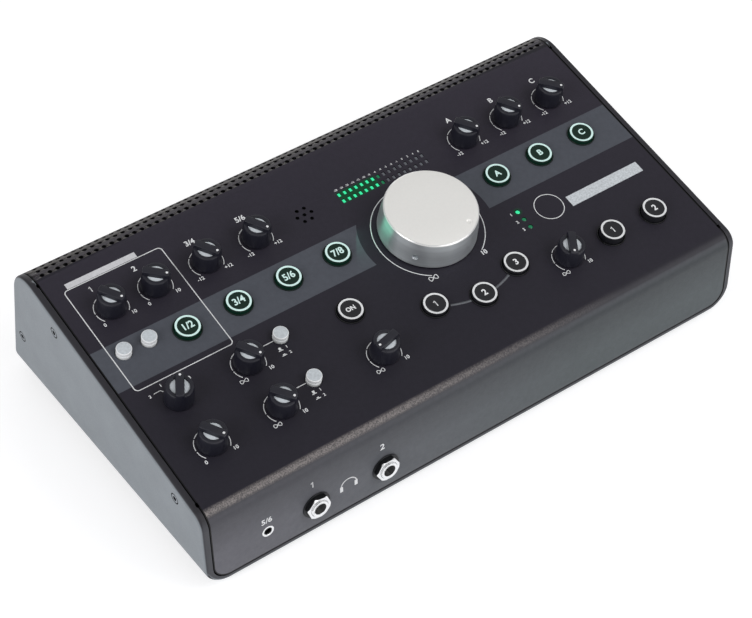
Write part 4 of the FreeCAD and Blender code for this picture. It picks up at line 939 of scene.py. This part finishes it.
class CONTROLLER_OT_buttons(bpy.types.Operator):
    """Mould the round buttons, their light rings and collars, and the white push switches"""

    bl_idname = "controller.buttons"
    bl_label = "Buttons and switches"

    def execute(self, context):
        for height, marks in ((CAP_HEIGHT, LIT_BUTTONS | DARK_BUTTONS), (TALK_CAP_HEIGHT, TALK_BUTTONS)):
            cap = turned([
                (6.2, -3.0), (6.5, -2.9), (6.5, height - 0.4), (6.42, height - 0.15), (6.25, height),
                (6.15, height), (5.2, height), (5.1, height - 0.03), (3.0, height - CAP_DISH),
            ])
            for node, mark in marks.items():
                self.button(cap, node, mark, height, node in LIT_BUTTONS)
            bpy.data.objects.remove(cap)
        self.collars()
        self.push_switches()
        return {"FINISHED"}

    @staticmethod
    def button(template, node, mark, height, lit):
        def on_ring(middle, normal):
            return RING_INSIDE < math.hypot(middle.x, middle.y) < RING_OUTSIDE and normal.z > UPWARD

        piece = copy_piece(template)
        paint(piece, ["cap_lit", "ring_lit"] if lit else ["cap", "ring"], on_ring)
        place = on_face(PANEL, *spot(PANEL, node))
        settle(piece, node + "_cap", place, node, node)
        tall, squeeze, weight = MARK_SHAPES[len(mark)]
        if mark == "1":
            words = printed_one(tall, 0.2, 0, 0.75)
        else:
            words = printed_text(mark, tall, 0, 0, weight, squeeze)
        paint(words, ["ring_lit" if lit else "ink"])
        on_cap = Matrix.Translation((0, 0, (height - CAP_DISH) * MM))
        settle(words, node + "_mark", place @ on_cap, node)

    @staticmethod
    def collars():
        ring = tube([(7.15, -2.2), (7.15, 0.0), (7.5, 0.0), (7.5, 0.4), (7.4, 0.55), (7.2, 0.6),
                     (7.0, 0.58), (6.82, 0.45), (6.8, 0.2), (6.8, -2.2)])
        for name, finish, nodes in (
            ("lit_collars", "bezel_lit", LIT_BUTTONS),
            ("dark_collars", "bezel", DARK_BUTTONS | TALK_BUTTONS),
        ):
            rings = [copy_piece(ring, on_face(PANEL, *spot(PANEL, node))) for node in nodes]
            gather(rings, name, [finish], "button_bezels")
        bpy.data.objects.remove(ring)

    @staticmethod
    def push_switches():
        push = turned([
            (3.6, -3.0), (3.9, -2.9), (3.9, 1.15), (3.75, 1.35), (3.3, 1.45), (3.3, 2.05), (3.75, 2.15),
            (3.9, 2.35), (3.9, 3.45), (3.8, 3.7), (3.5, 3.86), (3.1, 3.9),
        ], 48)
        paint(push, ["push", "push_top"], lambda middle, normal: normal.z > 0.97 and middle.z > PUSH_TOP)
        for node in PUSH_SWITCHES:
            place = on_face(PANEL, *spot(PANEL, node))
            settle(copy_piece(push), node + "_cap", place, node, node)
        bpy.data.objects.remove(push)


METER_COLUMNS = 16
METER_LEFT = -0.25
METER_PITCH = 3.467
METER_ROWS = (124.7, 120.35)
LENS_FOOT = -14.0


class CONTROLLER_OT_lights(bpy.types.Operator):
    """Set the lenses of the meter and status lights"""

    bl_idname = "controller.lights"
    bl_label = "Lights"

    def execute(self, context):
        groups = {"led_lit": [], "led_dim": [], "led_dark": []}
        lit = sizes().lit_lights
        for row in METER_ROWS:
            for column in range(METER_COLUMNS):
                lens = slab(1.5, 2.1, LENS_FOOT, 0.0, 0.1)
                lens.data.transform(on_face(PANEL, METER_LEFT + column * METER_PITCH, row, -0.3))
                kind = "led_lit" if column < lit else "led_dim" if column == lit else "led_dark"
                groups[kind].append(lens)
        for kind, (x, y) in zip(("led_lit", "led_dim", "led_dim"), STATUS_PLACES):
            lens = turned([(1.2, LENS_FOOT), (1.2, -0.45), (1.0, -0.25), (0.6, -0.15)], 24)
            lens.data.transform(on_face(PANEL, x, y))
            groups[kind].append(lens)
        for kind, lenses in groups.items():
            gather(lenses, kind + "_lenses", [kind], "indicator_leds")
        return {"FINISHED"}


NUT_FLATS = 12.0
# how deep a socket's metal reaches, the height past which all of it is metal, and its bore's radius
SOCKET_DEPTH, SOCKET_FACE, SOCKET_BORE = -1.7 * MM, 3.5 * MM, 3.3 * MM


class CONTROLLER_OT_sockets(bpy.types.Operator):
    """Finish the headphone sockets, the small stereo socket and the rear connectors"""

    bl_idname = "controller.sockets"
    bl_label = "Sockets"

    def execute(self, context):
        self.headphones()
        self.stereo_input()
        self.rear_connectors()
        return {"FINISHED"}

    @staticmethod
    def headphones():
        washer = tube([
            (4.7, 0.0), (7.5, 0.0), (7.6, 0.12), (7.6, 0.5), (7.4, 0.68), (7.1, 0.7), (4.7, 0.7),
        ])
        paint(washer, ["black_steel"])
        # the hexagon runs past the body that trims it, so that no two of their faces lie in one plane
        corner = NUT_FLATS / math.sqrt(3)
        nut = turned([(corner, 0.5), (corner, 3.1)], 6)
        boolean(nut, turned([(6.3, 0.7), (6.75, 0.95), (6.75, 2.45), (6.2, 2.9), (5.4, 2.9)]), "INTERSECT")
        boolean(nut, turned([(4.62, 0.0), (4.62, 2.5), (5.2, 3.2)], 48), "DIFFERENCE")
        # painted reflection: the nut's flanks and bore are black steel for the dark reflections on its chrome
        paint(nut, ["chrome", "black_steel"], lambda middle, normal: normal.z <= 0.3)
        into = []
        for number in (1, 2):
            place = on_face(FRONT, *mount_spot(FRONT, f"headphone_socket_{number}"))
            into.append(place.inverted())
            spun = place @ Matrix.Rotation(math.radians(8 + 11 * number), 4, "Z")
            for template, name, at, slot in (
                (washer, "headphone_washer", place, "socket"), (nut, "headphone_nut", spun, "nut"),
            ):
                settle(copy_piece(template), f"{name}_{number}", at, "case", name + "s")
        for template in (washer, nut):
            bpy.data.objects.remove(template)

        def zone(middle, normal):
            """Metal on the bushing and its ring, and dark nylon in the bore and behind the face."""
            near = min((matrix @ middle for matrix in into), key=lambda point: math.hypot(point.x, point.y))
            on_ring = near.z > SOCKET_DEPTH and math.hypot(near.x, near.y) > SOCKET_BORE
            return not (near.z > SOCKET_FACE or on_ring)

        refinish("headphone_jacks", "headphone_bushings", ["chrome", "nylon"], zone)

    @staticmethod
    def stereo_input():
        ring = tube([(2.2, 0.02), (2.3, 0.12), (3.0, 0.15), (3.22, 0.1), (3.25, -1.5), (2.2, -1.5)], 48)
        paint(ring, ["chrome"])
        place = on_face(FRONT, *mount_spot(FRONT, "stereo_input_socket"))
        settle(ring, "stereo_input_ring", place, "case")
        paint_nodes("nylon", "stereo_input_jack")

    @staticmethod
    def rear_connectors():
        into = REAR.inverted()

        def zone(middle, normal):
            """Metal on each bushing, and dark nylon behind the face."""
            return (into @ middle).z <= SOCKET_DEPTH or normal.dot(REAR_NORMAL) <= -0.5

        refinish("line_jacks", "line_jack_bushings", ["chrome", "nylon"], zone)
        refinish("line_jack_nuts", "line_jack_hexagons", ["steel"])
        paint_nodes("nylon", "combo_inputs", "power_inlet")
        paint_nodes("steel", "usb_socket")
        paint_nodes("cap", "power_button")


# the arc round a small knob, broken where a number of its scale would stand, in degrees
ARC_STRETCHES = ((-40, -2.5), (2.5, 42.5), (47.5, 87.5), (92.5, 132.5), (137.5, 177.5), (182.5, 218.6))
RING_MIDDLE = (26.2, 84.05)
RING_START, RING_END = -57, 237.8
LINK_STRETCHES = ((-112.5, -99.0), (-81.0, -67.5))
LINK_WIDTH = 1.4
# where the signs stand at an arc's ends, from the knob's middle
LOW_NUMBER, LOW_ENDLESS, HIGH_NUMBER = (-7.8, -7.4), (-7.2, -7.4), (8.2, -7.5)
METER_NUMBERS = (-28, -24, -20, -16, -12, -10, -8, -6, -4, -3, -2, -1, 0, 2, 4, 8)


class CONTROLLER_OT_print(bpy.types.Operator):
    """Print the arcs, rings, frames, lines and generic numbers on the case"""

    bl_idname = "controller.print"
    bl_label = "Printed lines and numbers"

    def execute(self, context):
        width, ink = sizes().ink_width / MM, sizes().ink_height / MM
        self.scales(width)
        self.outlines(width, ink)
        self.link_lines(width, ink)
        self.numbers(ink)
        return {"FINISHED"}

    @staticmethod
    def scales(width):
        """The broken arcs round the small knobs, the ring round the volume knob, and their end signs."""
        marks = []
        for node, (_, ends, _) in SMALL_KNOBS.items():
            if not ends:
                continue
            x, y = spot(PANEL, node)
            for stretch in ARC_STRETCHES:
                marks.append(ink_line(arc_points((x, y), sizes().arc_radius / MM, *stretch), width))
            if ends[0]:
                marks.append(printed_text(ends[0], 2.0, x + LOW_NUMBER[0], y + LOW_NUMBER[1], 0.06))
            else:
                marks.append(endless_sign(x + LOW_ENDLESS[0], y + LOW_ENDLESS[1], 4.2, 1.9, 0.42))
            marks.append(printed_text(ends[1], 2.0, x + HIGH_NUMBER[0], y + HIGH_NUMBER[1], 0.06))
        ring = arc_points(RING_MIDDLE, sizes().ring_radius / MM, RING_START, RING_END, 4)
        marks += [
            ink_line(ring, width * 1.1),
            endless_sign(10.6, 57.95, 5.0, 2.5, 0.5),
            printed_text("10", 2.6, 42.1, 57.8, 0.1),
        ]
        print_on(PANEL, "scales", "ink", marks)

    @staticmethod
    def outlines(width, ink):
        """The frame round the inputs, its title bar, the bare badge ring and the silver bar."""
        box = []
        for corner, start in (
            ((-97.6, 140.1), 0), ((-147.8, 140.1), 90), ((-147.8, 77.5), 180), ((-97.6, 77.5), 270),
        ):
            box += arc_points(corner, 2.0, start, start + 90, 22.5)
        badge = arc_points((89.2, 64.3), 7.9, 0, 352, 8)
        print_on(PANEL, "outlines", "ink", [ink_line(box, width * 1.1, True), ink_line(badge, width, True)])
        print_on(PANEL, "title_bar", "title", [slab(39.0, 3.3, 0.0, ink, x=-127.8, y=144.2)])
        print_on(PANEL, "silver_bar", "silver_ink", [slab(47.2, 6.7, 0.0, ink, x=124.0, y=61.5)])

    @staticmethod
    def link_lines(width, ink):
        """Thin lines that tie the volume group and the headphone switches together."""
        reach = math.dist(spot(PANEL, "mute_button"), RING_MIDDLE)
        arcs = [arc_points(RING_MIDDLE, reach, *stretch) for stretch in LINK_STRETCHES]
        print_on(PANEL, "button_links", "grey_ink", [ink_line(arc, LINK_WIDTH) for arc in arcs])
        x, y = spot(PANEL, "cue_source_knob")
        leaders = (
            [(-84.6, 66.85), (-78.9, 66.85)], [(-84.2, 38.8), (-78.8, 38.8)],
            [(x - 8.8, y + 8.1), (x - 5.2, y + 8.3), (x - 4.1, y + 7.0)],
        )
        lines = [ink_line(points, width) for points in leaders]
        for switch in ("phones_1_switch", "phones_2_switch"):
            x, y = spot(PANEL, switch)
            # a raised and a pressed button, each a cap over a base
            for long, wide, across, down in (
                (1.3, 1.5, 4.1, 5.8), (2.6, 0.4, 4.1, 6.9), (1.3, 0.5, 4.0, 9.4), (2.6, 0.4, 4.0, 10.0),
            ):
                lines.append(slab(long, wide, 0, ink, x=x - across, y=y - down))
        print_on(PANEL, "link_lines", "ink", lines)

    @staticmethod
    def numbers(ink):
        """The names over the knobs and sockets, and the meter's, stops', lights' and switches' numbers."""
        marks = []
        for node, (_, _, name) in SMALL_KNOBS.items():
            if not name:
                continue
            x, y = spot(PANEL, node)
            if name[0] == "1":
                marks.append(printed_one(3.2, x + name[1], y + 14.3, 0.65))
            else:
                marks.append(printed_text(name[0], 3.1, x + name[1], y + 14.2, 0.12))
        x, y = spot(PANEL, "cue_source_knob")
        small = [("1", 1.7, x - 3.5, y + 10.6, 0.05), ("2", 1.7, x - 11.0, y + 7.6, 0.05),
                 ("3", 1.7, x + 10.6, y + 7.5, 0.05)]
        small += [(name, 1.8, x - 4.2, y, 0.05) for name, (x, y) in zip("123", STATUS_PLACES)]
        small += [(str(number), 1.2, METER_LEFT + column * METER_PITCH, METER_ROWS[0] + 3.2, 0.02, 0.9)
                  for column, number in enumerate(METER_NUMBERS)]
        for switch in ("phones_1_switch", "phones_2_switch"):
            x, y = spot(PANEL, switch)
            small += [("1", 1.6, x - 0.4, y - 6.2, 0.04), ("2", 1.6, x - 0.4, y - 9.7, 0.04)]
        print_on(PANEL, "panel_numbers", "ink", marks + [printed_text(*mark) for mark in small])
        print_on(FRONT, "front_numbers", "ink", [
            printed_one(3.8, -102.0, 33.0, 0.75),
            printed_text("2", 3.8, -62.0, 32.8, 0.12),
            printed_text("5/6", 3.4, -128.2, 25.4, 0.1),
            # a headband between two ear cups
            ink_line(arc_points((-81.9, 19.2), 4.6, 0, 180, 12), 0.7),
            slab(1.7, 3.4, 0, ink, x=-86.1, y=18.6),
            slab(1.7, 3.4, 0, ink, x=-77.7, y=18.6),
        ])


class CONTROLLER_OT_fasteners(bpy.types.Operator):
    """Finish the screws, feet and hidden pieces"""

    bl_idname = "controller.fasteners"
    bl_label = "Screws, feet and inner pieces"

    def execute(self, context):
        self.side_screws()
        paint_nodes("steel", "foot_screws", "volume_potentiometer")
        paint_nodes("rubber", "rubber_feet")
        paint_nodes("nylon", "small_potentiometers", "button_switches", "microphone", "power_switch")
        paint_nodes("board", "main_board", "rear_board", "front_board")
        paint_nodes("brass", "board_mounts")
        paint_nodes("ribbon", "ribbon_cable")
        return {"FINISHED"}

    @staticmethod
    def side_screws():
        screw = turned([(1.45, -5.5), (1.45, -1.65), (2.4, -0.6), (2.45, -0.12), (2.35, 0.0)], 32)
        boolean(screw, turned([(1.45, -1.1), (1.45, 0.5)], 6), "DIFFERENCE")
        screws = []
        for side in (-1, 1):
            for back, up in SIDE_SCREWS:
                origin = (side * CASE_HALF_WIDTH, COVER_LOW.y + back * MM, CHASSIS_LOW.z + up * MM)
                screws.append(copy_piece(screw, face_frame(origin, (0, side, 0), (side, 0, 0))))
        bpy.data.objects.remove(screw)

        def zone(middle, normal):
            """Paint on the heads, and painted shade in black steel on all that sinks below the side: the sockets
            and the cones in their seats.
            """
            return abs(middle.x) < CASE_HALF_WIDTH - SIDE_SLACK

        finishes = ["screw_paint", "black_steel"]
        gather(screws, "side_screw_heads", finishes, "side_screws", choose=zone)


# ---------------------------------------------------------------- stage

# the camera's place and directions, in millimetres from the foot of the front face's middle
CAMERA_PLACE = (-442.51, -542.15, 759.77)
CAMERA_RIGHT = (0.80925485, -0.58732217, -0.01261995)
CAMERA_UP = (0.4146531, 0.5558579, 0.7204754)
CAMERA_SHIFT = (-0.0123, 0.0019)
# each softbox: where it hangs in metres, its width, and its share of the plain light level
SOFTBOXES = (
    ("front_right_softbox", (0.75, -1.0, 1.25), 0.9, 0.30),
    ("left_softbox", (-1.5, -0.25, 0.85), 1.0, 0.40),
    ("front_softbox", (0.2, -1.6, 0.7), 1.0, 0.15),
    ("low_rear_softbox", (0.8, 1.6, 0.40), 0.8, 0.15),
)
WORLD_SHARE = 0.45
OBJECT_MIDDLE = Vector((0, 0, 0.04))
# the paper that the object sees, the paper that the lens sees, and the light that lifts that to white
PAPER, SEEN_PAPER, PAPER_LIFT = "e9e9ea", "c4c4c6", 0.62
# the meter's lamp and what it lights, in millimetres on the panel, with its width and power in watts
GLOW_PLACE, GLOW_AIM, GLOW_WIDTH, GLOW_POWER = (-9, 97, 8), (4, 87, 8), 16 * MM, 0.0009


class CONTROLLER_OT_stage(bpy.types.Operator):
    """Set up the floor, the lights and the camera"""

    bl_idname = "controller.stage"
    bl_label = "Stage"

    def execute(self, context):
        self.floor()
        self.lights()
        self.camera()
        context.scene.view_settings.view_transform = "Standard"
        return {"FINISHED"}

    @staticmethod
    def floor():
        bpy.ops.mesh.primitive_plane_add(size=12)
        floor = bpy.context.object
        floor.name = "floor"
        material, tree, _ = start_material("studio_paper")
        # only what the lens, a gloss or a clear piece sees of the paper is lifted to white
        rays = add_node(tree, "LightPath").outputs
        seen = rays["Is Camera Ray"]
        for ray in ("Is Glossy Ray", "Is Transmission Ray"):
            seen = add_node(tree, "Math", {0: seen, 1: rays[ray]}, operation="MAXIMUM")
        sheet = add_node(
            tree, "Mix", {"Factor": seen, "A": linear(PAPER), "B": linear(SEEN_PAPER)}, data_type="RGBA",
        )
        paper = add_node(tree, "BsdfDiffuse", {"Color": sheet})
        lift = add_node(tree, "Math", {0: seen, 1: PAPER_LIFT}, operation="MULTIPLY")
        white = add_node(tree, "Emission", {"Color": linear("ffffff"), "Strength": lift})
        total = add_node(tree, "AddShader", {0: paper, 1: white})
        add_node(tree, "OutputMaterial", {"Surface": total})
        floor.data.materials.append(material)

    def lights(self):
        world = bpy.data.worlds.new("studio")
        bpy.context.scene.world = world
        world.use_nodes = True
        tree = world.node_tree
        tree.nodes.clear()
        background = add_node(tree, "Background", {"Color": linear("ffffff"), "Strength": WORLD_SHARE})
        add_node(tree, "OutputWorld", {"Surface": background})
        for name, place, width, share in SOFTBOXES:
            power = share * math.pi ** 2 * (OBJECT_MIDDLE - Vector(place)).length_squared
            self.lamp(name, Vector(place), OBJECT_MIDDLE, width, power)
        # the green light that the meter and the buttons throw on the big knob's side
        place, aim = [on_face(PANEL, *point).translation for point in (GLOW_PLACE, GLOW_AIM)]
        self.lamp("meter_glow", place, aim, GLOW_WIDTH, GLOW_POWER, "80f0c4")

    @staticmethod
    def lamp(name, place, aim, width, power, tone="ffffff"):
        bpy.ops.object.light_add(type="AREA", location=place)
        lamp = bpy.context.object
        lamp.name = name
        lamp.data.size = width
        lamp.data.energy = power
        lamp.data.color = linear(tone)[:3]
        lamp.rotation_euler = (aim - place).to_track_quat("-Z", "Y").to_euler()

    @staticmethod
    def camera():
        data = bpy.data.cameras.new("camera")
        data.sensor_width = 36
        data.lens = sizes().focal_length
        data.shift_x, data.shift_y = CAMERA_SHIFT
        camera = bpy.data.objects.new("camera", data)
        place = Vector((0, COVER_LOW.y, CHASSIS_LOW.z)) + Vector(CAMERA_PLACE) * MM
        right = Vector(CAMERA_RIGHT)
        camera.matrix_world = face_frame(place, right, right.cross(Vector(CAMERA_UP)))
        bpy.context.scene.collection.objects.link(camera)
        bpy.context.scene.camera = camera


class CONTROLLER_PT_panel(bpy.types.Panel):
    """The controller's pieces, sizes and colours"""

    bl_idname = "CONTROLLER_PT_panel"
    bl_label = "Monitor controller"
    bl_space_type = "VIEW_3D"
    bl_region_type = "UI"
    bl_category = "Controller"

    def draw(self, context):
        for group in (sizes(), colours()):
            box = self.layout.box()
            for name in group.__annotations__:
                box.prop(group, name)
        for operator in OPERATORS:
            self.layout.operator(operator.bl_idname)


OPERATORS = (
    CONTROLLER_OT_case,
    CONTROLLER_OT_small_knobs,
    CONTROLLER_OT_volume_knob,
    CONTROLLER_OT_buttons,
    CONTROLLER_OT_lights,
    CONTROLLER_OT_sockets,
    CONTROLLER_OT_print,
    CONTROLLER_OT_fasteners,
    CONTROLLER_OT_stage,
)
CLASSES = (ControllerSizes, ControllerColours) + OPERATORS + (CONTROLLER_PT_panel,)


def register():
    for cls in CLASSES:
        bpy.utils.register_class(cls)
    bpy.types.Scene.controller_sizes = PointerProperty(type=ControllerSizes)
    bpy.types.Scene.controller_colours = PointerProperty(type=ControllerColours)


def unregister():
    del bpy.types.Scene.controller_colours
    del bpy.types.Scene.controller_sizes
    for cls in reversed(CLASSES):
        bpy.utils.unregister_class(cls)


def main():
    register()
    make_materials()
    bpy.ops.controller.case()
    bpy.ops.controller.small_knobs()
    bpy.ops.controller.volume_knob()
    bpy.ops.controller.buttons()
    bpy.ops.controller.lights()
    bpy.ops.controller.sockets()
    bpy.ops.controller.print()
    bpy.ops.controller.fasteners()
    bpy.ops.controller.stage()


if __name__ == "__main__":
    main()
